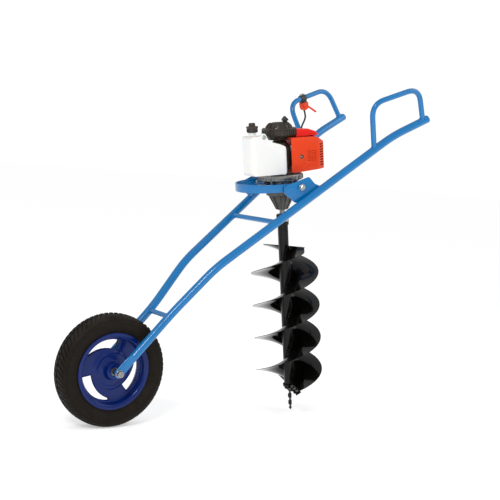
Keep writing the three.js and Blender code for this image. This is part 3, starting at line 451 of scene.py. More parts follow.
def shape_group(name, inputs):
    tree, given, result = node_group(
        name, "GeometryNodeTree", [("Shape", SHAPE, None), *inputs, ("Finish", FINISH, None)],
        [("Shape", SHAPE)])
    tree.is_modifier = True
    return tree, given, result


def end_shape(tree, shape, given, result):
    """Every shape tree ends with real faces in one finish."""
    real = put(tree, "GeometryNodeRealizeInstances", {0: shape}).outputs[0]
    done = put(tree, "GeometryNodeSetMaterial", {"Geometry": real, "Material": given["Finish"]})
    tree.links.new(done.outputs[0], result["Shape"])


def tube_tree():
    """A round tube along a drawn path."""
    tree, given, result = shape_group(
        "Tube along a path", [("Radius", FLOAT, 10.0), ("Sides", COUNT, 24)])
    line = put(tree, "GeometryNodeMeshToCurve", {0: given["Shape"]}).outputs[0]
    ring = put(tree, "GeometryNodeCurvePrimitiveCircle",
               {"Resolution": given["Sides"], "Radius": given["Radius"]})
    tube = put(tree, "GeometryNodeCurveToMesh",
               {"Curve": line, "Profile Curve": ring.outputs[0], "Fill Caps": True})
    end_shape(tree, tube.outputs[0], given, result)
    return tree


def bead_tree():
    """A weld bead: a row of overlapping drops along a drawn path."""
    tree, given, result = shape_group(
        "Weld bead", [("Radius", FLOAT, 2.5), ("Spacing", FLOAT, 2.2)])
    line = put(tree, "GeometryNodeMeshToCurve", {0: given["Shape"]}).outputs[0]
    along = put(tree, "GeometryNodeCurveToPoints",
                {"Curve": line, "Length": given["Spacing"]}, mode="LENGTH")
    drop = put(tree, "GeometryNodeMeshUVSphere", {"Segments": 8, "Rings": 5, "Radius": 1.0})
    uneven = put(tree, "FunctionNodeRandomValue", {"Seed": 4}, data_type="FLOAT")
    uneven.inputs[2].default_value = 0.82
    uneven.inputs[3].default_value = 1.08
    wide = maths(tree, "MULTIPLY", given["Radius"], uneven.outputs[1])
    long = maths(tree, "MULTIPLY", given["Spacing"], 0.85)
    size = put(tree, "ShaderNodeCombineXYZ", {0: wide, 1: wide, 2: long}).outputs[0]
    beads = put(tree, "GeometryNodeInstanceOnPoints",
                {"Points": along.outputs["Points"], "Instance": drop.outputs[0],
                 "Rotation": along.outputs["Rotation"], "Scale": size})
    end_shape(tree, beads.outputs[0], given, result)
    return tree


def repeat_tree():
    """Copies of a shape, each stepped along and turned about Z from the last."""
    tree, given, result = shape_group(
        "Repeated shape", [("Count", COUNT, 8), ("Step", VECTOR, (0, 0, 0)),
                           ("Turn", FLOAT, 0.0), ("Start", FLOAT, 0.0)])
    index = tree.nodes.new("GeometryNodeInputIndex").outputs[0]
    place = put(tree, "ShaderNodeVectorMath", {0: given["Step"], "Scale": index}, operation="SCALE")
    points = put(tree, "GeometryNodePoints", {"Count": given["Count"], "Position": place.outputs[0]})
    turned_by = maths(tree, "MULTIPLY_ADD", index, given["Turn"], given["Start"])
    angles = put(tree, "ShaderNodeCombineXYZ", {2: turned_by}).outputs[0]
    rotation = put(tree, "FunctionNodeEulerToRotation", {0: angles}).outputs[0]
    copies = put(tree, "GeometryNodeInstanceOnPoints",
                 {"Points": points.outputs[0], "Instance": given["Shape"], "Rotation": rotation})
    end_shape(tree, copies.outputs[0], given, result)
    return tree


def holes_tree():
    """Rows of round holes through a shape's near face."""
    tree, given, result = shape_group(
        "Perforated", [("Columns", COUNT, 5), ("Rows", COUNT, 5), ("Pitch", FLOAT, 8.0),
                       ("Hole radius", FLOAT, 1.8), ("Centre", VECTOR, (0, 0, 0)),
                       ("Depth", FLOAT, 20.0)])
    wide = maths(tree, "MULTIPLY", maths(tree, "SUBTRACT", given["Columns"], 1), given["Pitch"])
    high = maths(tree, "MULTIPLY", maths(tree, "SUBTRACT", given["Rows"], 1), given["Pitch"])
    grid = put(tree, "GeometryNodeMeshGrid",
               {"Size X": wide, "Size Y": high, "Vertices X": given["Columns"],
                "Vertices Y": given["Rows"]})
    pin = put(tree, "GeometryNodeMeshCylinder",
              {"Vertices": 10, "Radius": given["Hole radius"], "Depth": given["Depth"]})
    pins = put(tree, "GeometryNodeInstanceOnPoints",
               {"Points": grid.outputs[0], "Instance": pin.outputs[0]})
    upright = put(tree, "GeometryNodeTransform",
                  {"Geometry": pins.outputs[0], "Translation": given["Centre"],
                   "Rotation": (math.pi / 2, 0, 0)})
    real = put(tree, "GeometryNodeRealizeInstances", {0: upright.outputs[0]})
    holed = put(tree, "GeometryNodeMeshBoolean", operation="DIFFERENCE", solver="MANIFOLD")
    tree.links.new(given["Shape"], holed.inputs["Mesh 1"])
    tree.links.new(real.outputs[0], holed.inputs["Mesh 2"])
    end_shape(tree, holed.outputs[0], given, result)
    return tree


def flight_tree():
    """A screw flight: a ribbon wound round Z that thins towards its edge and ends in a taper."""
    tree, given, result = shape_group(
        "Screw flight", [("Inner radius", FLOAT, 22.0), ("Outer radius", FLOAT, 140.0),
                         ("Thickness", FLOAT, 5.0), ("Foot", FLOAT, 0.0), ("Rise", FLOAT, 500.0),
                         ("Turns", FLOAT, 4.0), ("Start", FLOAT, 0.0), ("Steps", COUNT, 200)])
    ribbon = put(tree, "GeometryNodeMeshCube",
                 {"Size": (1, 1, 1), "Vertices X": 7, "Vertices Y": given["Steps"], "Vertices Z": 2})
    place = put(tree, "ShaderNodeSeparateXYZ",
                {0: tree.nodes.new("GeometryNodeInputPosition").outputs[0]})
    out = maths(tree, "ADD", place.outputs[0], 0.5)
    climb = maths(tree, "ADD", place.outputs[1], 0.5)
    ending = between(tree, climb, 0.97, 1.0, smooth=True)
    reach = maths(tree, "SUBTRACT", given["Outer radius"], given["Inner radius"])
    reach = maths(tree, "MULTIPLY", reach, maths(tree, "MULTIPLY_ADD", ending, -0.3, 1.0))
    radius = maths(tree, "MULTIPLY_ADD", out, reach, given["Inner radius"])
    winding = maths(tree, "MULTIPLY", given["Turns"], 2 * math.pi)
    angle = maths(tree, "MULTIPLY_ADD", climb, winding, given["Start"])
    height = maths(tree, "MULTIPLY_ADD", climb, given["Rise"], given["Foot"])
    thick = maths(tree, "MULTIPLY", given["Thickness"], maths(tree, "MULTIPLY_ADD", out, -0.45, 1.0))
    height = maths(tree, "MULTIPLY_ADD", place.outputs[2], thick, height)
    wound = put(tree, "ShaderNodeCombineXYZ",
                {0: maths(tree, "MULTIPLY", radius, maths(tree, "COSINE", angle)),
                 1: maths(tree, "MULTIPLY", radius, maths(tree, "SINE", angle)), 2: height})
    flight = put(tree, "GeometryNodeSetPosition",
                 {"Geometry": ribbon.outputs[0], "Position": wound.outputs[0]})
    end_shape(tree, flight.outputs[0], given, result)
    return tree


TREES = {}


def tree_of(maker):
    if maker not in TREES:
        TREES[maker] = maker()
    return TREES[maker]


def tube(points, radius, sides=24, closed=False):
    return grown(drawn_path(points, closed), tree_of(tube_tree), {"Radius": float(radius),
                                                                  "Sides": sides})


def bead(points, radius=2.6, spacing=2.3, closed=False):
    values = {"Radius": float(radius), "Spacing": float(spacing)}
    return grown(drawn_path(points, closed), tree_of(bead_tree), values)


def repeated(shape, count, step=(0, 0, 0), degrees=0.0, start=0.0):
    values = {"Count": count, "Step": step, "Turn": math.radians(degrees), "Start": math.radians(start)}
    return grown(made(shape), tree_of(repeat_tree), values)


def ringed(shape, count, start=0.0):
    """Copies of a shape, evenly round Z."""
    return repeated(shape, count, degrees=360 / count, start=start)


# ---- Finishes ----


def srgb(red, green, blue):
    """A colour as read off a screen, in the renderer's own scale."""
    channels = []
    for value in (red, green, blue):
        share = value / 255
        channels.append(share / 12.92 if share <= 0.04045 else ((share + 0.055) / 1.055) ** 2.4)
    return (*channels, 1.0)


def object_noise(tree, scale, stretch=None, detail=3.0):
    """Noise fixed to the object, finer with a higher scale."""
    place = tree.nodes.new("ShaderNodeTexCoord").outputs["Object"]
    if stretch is not None:
        place = put(tree, "ShaderNodeVectorMath", {0: place, 1: stretch}, operation="MULTIPLY").outputs[0]
    return put(tree, "ShaderNodeTexNoise", {"Vector": place, "Scale": scale, "Detail": detail}).outputs[0]


def uneven_tone():
    """Broad and fine shifts of brightness in a colour."""
    tree, given, result = node_group(
        "Uneven tone", "ShaderNodeTree",
        [("Colour", COLOUR, None), ("Scale", FLOAT, 20.0), ("Amount", FLOAT, 0.1)],
        [("Colour", COLOUR)])
    broad = object_noise(tree, given["Scale"])
    fine = object_noise(tree, maths(tree, "MULTIPLY", given["Scale"], 9.0))
    mixed = maths(tree, "MULTIPLY_ADD", fine, 0.35, maths(tree, "MULTIPLY", broad, 0.65))
    level = maths(tree, "SUBTRACT", between(tree, mixed, 0.3, 0.7), 0.5)
    factor = maths(tree, "MULTIPLY_ADD", level, given["Amount"], 1.0)
    grey = put(tree, "ShaderNodeCombineColor", {0: factor, 1: factor, 2: factor}).outputs[0]
    tree.links.new(tinted(tree, 1.0, given["Colour"], grey, "MULTIPLY"), result["Colour"])
    return tree


def edge_wear_and_highlight():
    """Paint rubbed through on the corners; where the bare colour is a paler tint of the paint, the
    corners carry a painted highlight instead.
    """
    tree, given, result = node_group(
        "Edge wear and painted highlight", "ShaderNodeTree",
        [("Paint", COLOUR, None), ("Bare and highlight", COLOUR, None), ("Wear and highlight", FLOAT, 0.5), ("Scale", FLOAT, 60.0)],
        [("Colour", COLOUR), ("Mask", FLOAT)])
    corner = between(tree, tree.nodes.new("ShaderNodeNewGeometry").outputs["Pointiness"], 0.53, 0.6)
    patches = between(tree, object_noise(tree, given["Scale"]), 0.42, 0.62)
    # This mask lightens the corners: wear on most finishes, a painted highlight where the bare colour is
    # a paler tint of the paint.
    mask = maths(tree, "MULTIPLY", corner, patches)
    mask = maths(tree, "MULTIPLY", mask, given["Wear and highlight"], clamp=True)
    tree.links.new(tinted(tree, mask, given["Paint"], given["Bare and highlight"]), result["Colour"])
    tree.links.new(mask, result["Mask"])
    return tree


def settled_dust():
    """Pale dust on what faces up."""
    tree, given, result = node_group(
        "Settled dust", "ShaderNodeTree",
        [("Colour", COLOUR, None), ("Dust", COLOUR, (0.45, 0.42, 0.38, 1)), ("Amount", FLOAT, 0.2),
         ("Scale", FLOAT, 14.0)],
        [("Colour", COLOUR), ("Mask", FLOAT)])
    normal = tree.nodes.new("ShaderNodeNewGeometry").outputs["Normal"]
    up = put(tree, "ShaderNodeSeparateXYZ", {0: normal}).outputs[2]
    mask = maths(tree, "MULTIPLY", between(tree, up, 0.1, 1.0),
                 between(tree, object_noise(tree, given["Scale"], detail=6.0), 0.4, 0.75))
    mask = maths(tree, "MULTIPLY", mask, given["Amount"], clamp=True)
    tree.links.new(tinted(tree, mask, given["Colour"], given["Dust"]), result["Colour"])
    tree.links.new(mask, result["Mask"])
    return tree


def surface_grain():
    """The fine relief of a surface and the roughness that goes with it."""
    tree, given, result = node_group(
        "Surface grain", "ShaderNodeTree",
        [("Scale", FLOAT, 300.0), ("Stretch", VECTOR, (1, 1, 1)), ("Roughness", FLOAT, 0.4),
         ("Variation", FLOAT, 0.1)],
        [("Height", FLOAT), ("Roughness", FLOAT)])
    fine = object_noise(tree, given["Scale"], given["Stretch"], 4.0)
    broad = object_noise(tree, maths(tree, "MULTIPLY", given["Scale"], 0.06), given["Stretch"])
    tree.links.new(fine, result["Height"])
    level = maths(tree, "SUBTRACT", between(tree, broad, 0.3, 0.7), 0.5)
    rough = maths(tree, "MULTIPLY_ADD", level, given["Variation"], given["Roughness"])
    tree.links.new(rough, result["Roughness"])
    return tree


def shared(tree, maker, inputs):
    """A shared node group in a material, its inputs given as values or links."""
    node = tree.nodes.new("ShaderNodeGroup")
    node.node_tree = tree_of(maker)
    for key, value in inputs.items():
        if isinstance(value, bpy.types.NodeSocket):
            tree.links.new(value, node.inputs[key])
        else:
            node.inputs[key].default_value = value
    return node


BARE_STEEL = srgb(176, 174, 170)


def surface(name, colour, roughness, metallic=0.0, tone=(18.0, 0.12), grain=(420.0, 0.05),
            stretch=(1, 1, 1), variation=0.12, wear_and_highlight_amount=0.0, bare_and_highlight=BARE_STEEL, dust=0.08, **constants):
    """A finish: its colour shifts and gathers dust, its corners show wear on some finishes and a painted
    highlight on others, and its grain gives relief.
    """
    material = bpy.data.materials.new(name)
    material.use_nodes = True
    tree = material.node_tree
    shader = tree.nodes["Principled BSDF"]
    toned = shared(tree, uneven_tone, {"Colour": colour, "Scale": tone[0], "Amount": tone[1]})
    worn_and_highlit = shared(tree, edge_wear_and_highlight, {"Paint": toned.outputs[0], "Bare and highlight": bare_and_highlight, "Wear and highlight": wear_and_highlight_amount})
    dusty = shared(tree, settled_dust, {"Colour": worn_and_highlit.outputs[0], "Amount": dust})
    relief = shared(tree, surface_grain, {"Scale": grain[0], "Stretch": stretch,
                                          "Roughness": roughness, "Variation": variation})
    tree.links.new(dusty.outputs[0], shader.inputs["Base Color"])
    rough = maths(tree, "MULTIPLY_ADD", dusty.outputs[1], 0.4, relief.outputs[1], clamp=True)
    tree.links.new(rough, shader.inputs["Roughness"])
    # On the frame and rim the corner mask is a painted highlight, and it is made metallic too.
    if wear_and_highlight_amount:
        bared_and_highlit = maths(tree, "MAXIMUM", worn_and_highlit.outputs[1], metallic)
        tree.links.new(bared_and_highlit, shader.inputs["Metallic"])
    else:
        shader.inputs["Metallic"].default_value = metallic
    bump = put(tree, "ShaderNodeBump", {"Height": relief.outputs[0], "Strength": grain[1],
                                        "Distance": 0.001})
    tree.links.new(bump.outputs[0], shader.inputs["Normal"])
    for key, value in constants.items():
        shader.inputs[key.replace("_", " ")].default_value = value
    return material


FINISHES = {}


def finish_of(slot):
    """The finish for one of the record's material slots, made from the settings when first asked for."""
    if slot in FINISHES:
        return FINISHES[slot]
    looks = bpy.context.scene.auger_finishes
    gloss = {"Coat_Weight": 0.35, "Coat_Roughness": 0.04, "Specular_IOR_Level": 0.35}
    recipes = {
        # The frame's bare colour is a paler cyan: a highlight painted on the tubes' corners, not bare
        # steel.
        "frame_paint": lambda: surface(slot, looks.frame_paint, 0.26, tone=(9, 0.14),
                                       grain=(260, 0.04), wear_and_highlight_amount=0.35, dust=0.03,
                                       bare_and_highlight=srgb(70, 160, 225), **gloss),
        # The rim's bare colour is a paler blue: a highlight painted on the rim's corners, not bare steel.
        "rim_paint": lambda: surface(slot, looks.rim_paint, 0.28, tone=(14, 0.3),
                                     grain=(240, 0.06), wear_and_highlight_amount=0.3, dust=0.02,
                                     bare_and_highlight=srgb(40, 70, 170), Coat_Weight=0.15,
                                     Coat_Roughness=0.06, Specular_IOR_Level=0.2),
        "tyre": lambda: surface(slot, looks.rubber, 0.62, tone=(22, 0.4), grain=(700, 0.22),
                                dust=0.04, variation=0.2, Specular_IOR_Level=0.15),
        "bright_steel": lambda: surface(slot, srgb(180, 180, 178), 0.3, 1.0, tone=(60, 0.15),
                                        grain=(900, 0.05), stretch=(1, 1, 8), dust=0.0),
        "cast_aluminium": lambda: surface(slot, srgb(150, 148, 142), 0.36, 0.95, tone=(40, 0.25),
                                          grain=(520, 0.35), dust=0.1),
        "gear_steel": lambda: surface(slot, srgb(140, 140, 138), 0.34, 1.0, grain=(800, 0.08), dust=0.0),
        "black_plastic": lambda: surface(slot, srgb(44, 36, 29), 0.4, tone=(30, 0.4),
                                         grain=(1500, 0.12), dust=0.1, wear_and_highlight_amount=0.3,
                                         bare_and_highlight=srgb(110, 96, 84)),
        "cover_orange": lambda: surface(slot, looks.cover, 0.36, tone=(16, 0.12),
                                        grain=(600, 0.06), dust=0.04, wear_and_highlight_amount=0.2,
                                        bare_and_highlight=srgb(255, 150, 100), Coat_Weight=0.1,
                                        Coat_Roughness=0.12, Specular_IOR_Level=0.25),
        "shroud_red": lambda: surface(slot, looks.shroud, 0.34, tone=(16, 0.12),
                                      grain=(600, 0.06), dust=0.04, Coat_Weight=0.1,
                                      Coat_Roughness=0.12, Specular_IOR_Level=0.25),
        "tank_white": lambda: surface(slot, looks.tank, 0.38, tone=(10, 0.07), grain=(350, 0.08),
                                      dust=0.05, Subsurface_Weight=0.25, Subsurface_Scale=0.012),
        "auger_black": lambda: surface(slot, looks.auger, 0.08, tone=(30, 0.5), grain=(120, 0.06),
                                       variation=0.08, wear_and_highlight_amount=0.2, bare_and_highlight=srgb(70, 68, 64), dust=0.0,
                                       Coat_Weight=0.15, Coat_Roughness=0.03,
                                       Specular_IOR_Level=0.15),
        "cast_dark": lambda: surface(slot, srgb(88, 87, 83), 0.5, 0.55, tone=(45, 0.4),
                                     grain=(480, 0.4), dust=0.1),
        "cable_sheath": lambda: surface(slot, srgb(26, 25, 24), 0.5, grain=(900, 0.1)),
    }
    FINISHES[slot] = recipes[slot]()
    return FINISHES[slot]


def piece(obj, name, body, slot, nodes=(), matrix=MM, **more):
    return finished(obj, name, finish_of(slot), body, slot, nodes, matrix, **more)


# ---- Settings ----


def length(name, description, default):
    return FloatProperty(name=name, description=description, default=default, unit="LENGTH")


def colour(name, description, default):
    return FloatVectorProperty(name=name, description=description, default=default, size=4,
                               subtype="COLOR", min=0, max=1)


def number(name, description, default):
    return IntProperty(name=name, description=description, default=default, min=1)


class AugerFinishes(bpy.types.PropertyGroup):
    frame_paint: colour("Frame paint", "Gloss paint on the tubes, cradle and brackets", srgb(0, 112, 176))
    rim_paint: colour("Rim paint", "Gloss paint on the wheel rim", srgb(0, 30, 98))
    rubber: colour("Tyre rubber", "Colour of the tyre", srgb(22, 16, 9))
    cover: colour("Cover", "Plastic of the exhaust cover and throttle", srgb(228, 60, 0))
    shroud: colour("Shroud", "Plastic of the engine shroud", srgb(235, 24, 2))
    tank: colour("Tank", "Plastic of the fuel tank", srgb(238, 238, 236))
    auger: colour("Auger paint", "Gloss paint on the auger", srgb(5, 4, 3))


class AugerFrameSizes(bpy.types.PropertyGroup):
    rail_radius: length("Rail radius", "Outer radius of the two rails", RAIL_RADIUS / 1000)
    loop_radius: length("Loop radius", "Outer radius of the handle loops", LOOP_RADIUS / 1000)
    rung_radius: length("Rung radius", "Outer radius of the rungs", RUNG_RADIUS / 1000)
    bead_radius: length("Weld bead", "Radius of the weld beads", 0.0026)


class AugerWheelSizes(bpy.types.PropertyGroup):
    tread_lugs: number("Tread lugs", "Lugs round each side of the tread", 64)
    lug_depth: length("Lug depth", "How far the lugs stand off the tyre", 0.003)


class AugerEngineSizes(bpy.types.PropertyGroup):
    fins: number("Cylinder fins", "Cooling fins on the cylinder", 9)
    fan_slots: number("Fan slots", "Slots round the fan housing", 34)
    dome_ribs: number("Dome ribs", "Ribs round the starter's dome", 18)


class AugerScrewSizes(bpy.types.PropertyGroup):
    flight_radius: length("Flight radius", "Outer radius of the flight", 0.14)
    flight_thickness: length("Flight thickness", "Thickness of the flight at the tube", 0.004)
    flight_turns: FloatProperty(name="Turns", description="Turns of each start", default=2.1056, min=0.5)


class AugerStageLights(bpy.types.PropertyGroup):
    floor: colour("Floor", "Colour of the floor", (0.95, 0.95, 0.95, 1))
    sky: FloatProperty(name="Surround light", description="Strength of the even light", default=0.62,
                       min=0)
    key: FloatProperty(name="Key light", description="Power of the large lamp", default=72, min=0,
                       unit="POWER")


GROUPS = {
    "auger_finishes": AugerFinishes,
    "auger_frame": AugerFrameSizes,
    "auger_wheel": AugerWheelSizes,
    "auger_engine": AugerEngineSizes,
    "auger_screw": AugerScrewSizes,
    "auger_stage": AugerStageLights,
}


def mm(value):
    """A setting in metres as millimetres."""
    return value * 1000


# ---- The frame's pieces ----


def weld_ring(foot, axis, radius, rail_point, rail_axis, rail_radius, steps=26):
    """The line where a tube's side meets a rail, for the tube that leaves foot along axis."""
    axis = axis.normalized()
    across = axis.cross(rail_axis).normalized()
    other = axis.cross(across)
    points = []
    for i in range(steps):
        angle = 2 * math.pi * i / steps
        start = foot + across * (radius * math.cos(angle)) + other * (radius * math.sin(angle))
        flat_start = (start - rail_point) - rail_axis * (start - rail_point).dot(rail_axis)
        flat_axis = axis - rail_axis * axis.dot(rail_axis)
        a, b = flat_axis.length_squared, 2 * flat_axis.dot(flat_start)
        c = flat_start.length_squared - rail_radius ** 2
        reach = (-b + math.sqrt(max(b * b - 4 * a * c, 0))) / (2 * a)
        points.append(start + axis * reach)
    return points


def pressed_flat(obj, side):
    """Presses the rail's front end flat round the axle, with a round nose."""
    along = Vector((math.cos(FORK_ANGLE), 0, math.sin(FORK_ANGLE)))
    over = Vector((-along.z, 0, along.x))
    centre = Vector((0, side * 76, 215))
    for vertex in obj.data.vertices:
        offset = vertex.co - centre
        distance, height = offset.dot(along), offset.dot(over)
        if distance > 85:
            continue
        share = min(max((85 - distance) / 32, 0), 1)
        share = share * share * (3 - 2 * share)
        height *= 1 + share * 0.12
        if distance < 0:
            height *= math.sqrt(max(1 - (distance / 18) ** 2, 0.02))
        width = offset.y * (1 - share * (1 - 4.5 / RAIL_RADIUS))
        vertex.co = centre + along * distance + over * height + Vector((0, width, 0))


class AUGER_OT_rails(bpy.types.Operator):
    """Two bent rails, pressed flat at the axle, with rungs between them and handle loops on top"""

    bl_idname = "auger.rails"
    bl_label = "Rails, rungs and loops"

    def execute(self, context):
        sizes = context.scene.auger_frame
        nose = [Vector((d * math.cos(FORK_ANGLE), 76, 215 + d * math.sin(FORK_ANGLE)))
                for d in (-17.5, -15, -11, -6, 0, 8, 18, 30, 42, 50, 55, 60, 66, 73, 80, 88)]
        path = nose[:-1] + bent([nose[-1], *RAIL_CORNERS[1:]], 55)
        loop = bent(loop_corners(), LOOP_ROUNDING)
        for name, side in SIDES.items():
            flip = Matrix.Scale(side, 4, (0, 1, 0))
            rail = tube([flip @ point for point in path], mm(sizes.rail_radius), 28)
            pressed_flat(rail, side)
            piece(rail, f"{name}_rail_tube", "frame", "frame_paint", [f"{name}_rail"])
            handle = tube([flip @ point for point in loop], mm(sizes.loop_radius), 22)
            piece(handle, f"{name}_loop_tube", "frame", "frame_paint", [f"{name}_handle_loop"])
            end, before = flip @ Vector(RAIL_CORNERS[-1]), flip @ Vector(RAIL_CORNERS[-2])
            outwards = (end - before).to_track_quat("Z", "Y").to_matrix().to_4x4()
            cap = turned([(0, -3), (13, -3), (16, -2.6), (16.2, 1), (14.6, 4.4), (9, 5), (0, 5.2)], 32)
            matrix = MM @ Matrix.Translation(end) @ outwards
            piece(made(cap), f"{name}_rail_cap", "frame", "frame_paint", [f"{name}_rail_plug"], matrix)
        for name, x in RUNG_PLACES.items():
            at = rail_at(x)
            ends = [Vector((x, side * (at.y - 10), at.z)) for side in (-1, 1)]
            rung = tube([ends[0].lerp(ends[1], i / 6) for i in range(7)], mm(sizes.rung_radius), 22)
            piece(rung, f"{name}_tube", "frame", "frame_paint", [name])
        return {"FINISHED"}


class AUGER_OT_welds(bpy.types.Operator):
    """Weld beads where the rungs, loops and brackets meet the rails"""

    bl_idname = "auger.welds"
    bl_label = "Weld beads"

    def execute(self, context):
        radius = mm(context.scene.auger_frame.bead_radius)
        beads = []
        loop = loop_corners()
        for side in SIDES.values():
            flip = Matrix.Scale(side, 4, (0, 1, 0))
            joints = [(rail_at(x), Vector((0, -1, 0)), RUNG_RADIUS) for x in RUNG_PLACES.values()]
            joints.append((loop[0], loop[1] - loop[0], LOOP_RADIUS))
            joints.append((loop[3], loop[2] - loop[3], LOOP_RADIUS))
            for foot, axis, size in joints:
                rail_axis = (rail_at(foot.x + 5) - rail_at(foot.x - 5)).normalized()
                line = weld_ring(foot, axis, size + 0.8, foot, rail_axis, RAIL_RADIUS)
                beads.append(bead([flip @ point for point in line], radius, closed=True))
            for face in (-3.6, 3.6):
                line = []
                for step in range(21):
                    x = PIVOT.x - 5 + step * 4.5
                    at = rail_at(x)
                    line.append(flip @ Vector((x, at.y - 14 + face, at.z + 10.5)))
                beads.append(bead(line, radius))
        piece(joined(*beads), "frame_weld_beads", "frame", "frame_paint")
        return {"FINISHED"}


class AUGER_OT_brackets(bpy.types.Operator):
    """Pivot brackets: plates welded inside the rails, with a boss for each pivot bolt"""

    bl_idname = "auger.brackets"
    bl_label = "Pivot brackets"

    def execute(self, context):
        outline = filleted([(-74, 4), (-72, -22), (-24, -62), (-8, -58), (86, 2), (62, 12), (37, 40)], 7)
        splay = math.degrees(math.atan2(246 - 115, 1171 - 399))
        rail_y = rail_at(PIVOT.x).y
        for name, side in SIDES.items():
            web = eased(made(side_slab(outline, -3, 3)), 0.9)
            web.data.transform(Matrix.Translation((PIVOT.x, rail_y - 14, PIVOT.z)) @ turn(splay))
            boss = made(moved(turned([(6.4, 148.5), (13.2, 148.5), (14, 149.2), (14, rail_y - 4.6),
                                      (13.2, rail_y - 4), (6.4, rail_y - 4)], 36), turn(-90, "X")))
            boss.data.transform(Matrix.Translation((PIVOT.x, 0, PIVOT.z)))
            fillet = bead([Vector((PIVOT.x + 15 * math.cos(a), rail_y - 12, PIVOT.z + 15 * math.sin(a)))
                           for a in (i * math.pi / 14 for i in range(28))], 2.4, closed=True)
            whole = joined(web, boss, fillet)
            flip = Matrix.Scale(side, 4, (0, 1, 0))
            piece(whole, f"{name}_bracket_plate", "frame", "frame_paint", [f"{name}_pivot_bracket"],
                  MM @ flip)
        return {"FINISHED"}


# ---- The wheel ----

TYRE_OUTLINE = [
    (143, 33), (149, 34), (152.5, 38), (157, 43.5), (164, 46.8), (166, 48.2), (168.5, 47.6), (176, 48.9),
    (186, 49.2), (189, 50), (191, 49), (198, 47), (204, 43), (208, 36.5), (210.4, 27), (211.6, 15),
    (212, 5),
]


def crown_at(across):
    """The tyre's radius at a distance from its middle, on the carcass."""
    outer = [(y, r) for r, y in TYRE_OUTLINE[9:]]
    outer.sort()
    for (low_y, low_r), (high_y, high_r) in zip(outer, outer[1:]):
        if across <= high_y:
            share = max(across - low_y, 0) / (high_y - low_y)
            return low_r + (high_r - low_r) * share
    return outer[-1][1]


def tread_lug(half_angle, depth, side):
    """One lug from the tread's middle over the shoulder, swept back as it goes out."""
    points, faces = [], []
    rows = 8
    for row in range(rows):
        share = row / (rows - 1)
        across = 3 + share * 43.5
        base = crown_at(across)
        rise = depth * (1 - 0.55 * share ** 3)
        sweep = math.radians(7.5 * share ** 1.3)
        narrow = half_angle * (1 - 0.12 * share)
        for angle, radius in ((-narrow, base - 3), (-narrow * 0.86, base + rise),
                              (narrow * 0.86, base + rise), (narrow, base - 3)):
            turn_by = angle + sweep * side
            points.append((radius * math.cos(turn_by), radius * math.sin(turn_by), side * across))
    for row in range(rows - 1):
        start = row * 4
        for i in range(4):
            j = (i + 1) % 4
            faces.append([start + i, start + j, start + 4 + j, start + 4 + i])
    faces += [[3, 2, 1, 0], [4 * rows - 4, 4 * rows - 3, 4 * rows - 2, 4 * rows - 1]]
    return points, faces


WINDOW_TURNS = (112, 232, 352)
WINDOW_WIDE_SWEEP = 52
WINDOW_POINT_SWEEP = 37
WINDOW_OUTER = 119
WINDOW_INNER = 76
WINDOW_POINT_HEIGHT = 10


def rim_window(middle):
    """A kidney-shaped window, wide at one end and pointed at the other."""
    wide, point = middle - WINDOW_WIDE_SWEEP, middle + WINDOW_POINT_SWEEP
    outer = arc(WINDOW_OUTER, wide + 5, point - 3, 16)
    tip = WINDOW_OUTER - WINDOW_POINT_HEIGHT
    inner = []
    for i in range(15):
        share = i / 14
        radius = tip - (tip - WINDOW_INNER) * math.sin(share * math.pi / 2)
        angle = math.radians(point - 3 - share * (point - wide - 8))
        inner.append((radius * math.cos(angle), radius * math.sin(angle)))
    return filleted(outer[::2] + inner[::2], 5, 3)


class AUGER_OT_tyre(bpy.types.Operator):
    """A treaded tyre: a carcass with swept lugs round both shoulders"""

    bl_idname = "auger.tyre"
    bl_label = "Tyre"

    def execute(self, context):
        sizes = context.scene.auger_wheel
        near = [(r, -y) for r, y in TYRE_OUTLINE]
        inside = [(143, 22), (156, 35), (190, 37), (198, 25), (198, -25), (190, -37), (156, -35),
                  (143, -22)]
        carcass = made(turned(near + [(212.1, 0)] + TYRE_OUTLINE[::-1] + inside, 144))
        lugs = []
        for side in (-1, 1):
            lug = tread_lug(math.pi / sizes.tread_lugs * 0.74, mm(sizes.lug_depth), side)
            offset = 180 / sizes.tread_lugs if side > 0 else 0
            lugs.append(ringed(lug, sizes.tread_lugs, start=offset))
        flutes = []
        for side in (-1, 1):
            flute = box(193, 199.5, -0.7, 0.7, -1.2, 1.2)
            flute = moved(flute, shift(0, 0, side * 47.4))
            flutes.append(ringed(flute, 120))
        whole = joined(carcass, *lugs, *flutes)
        piece(whole, "treaded_tyre", "wheel", "tyre", ["tyre"], WHEEL @ turn(-90, "X"), angle=32)
        return {"FINISHED"}


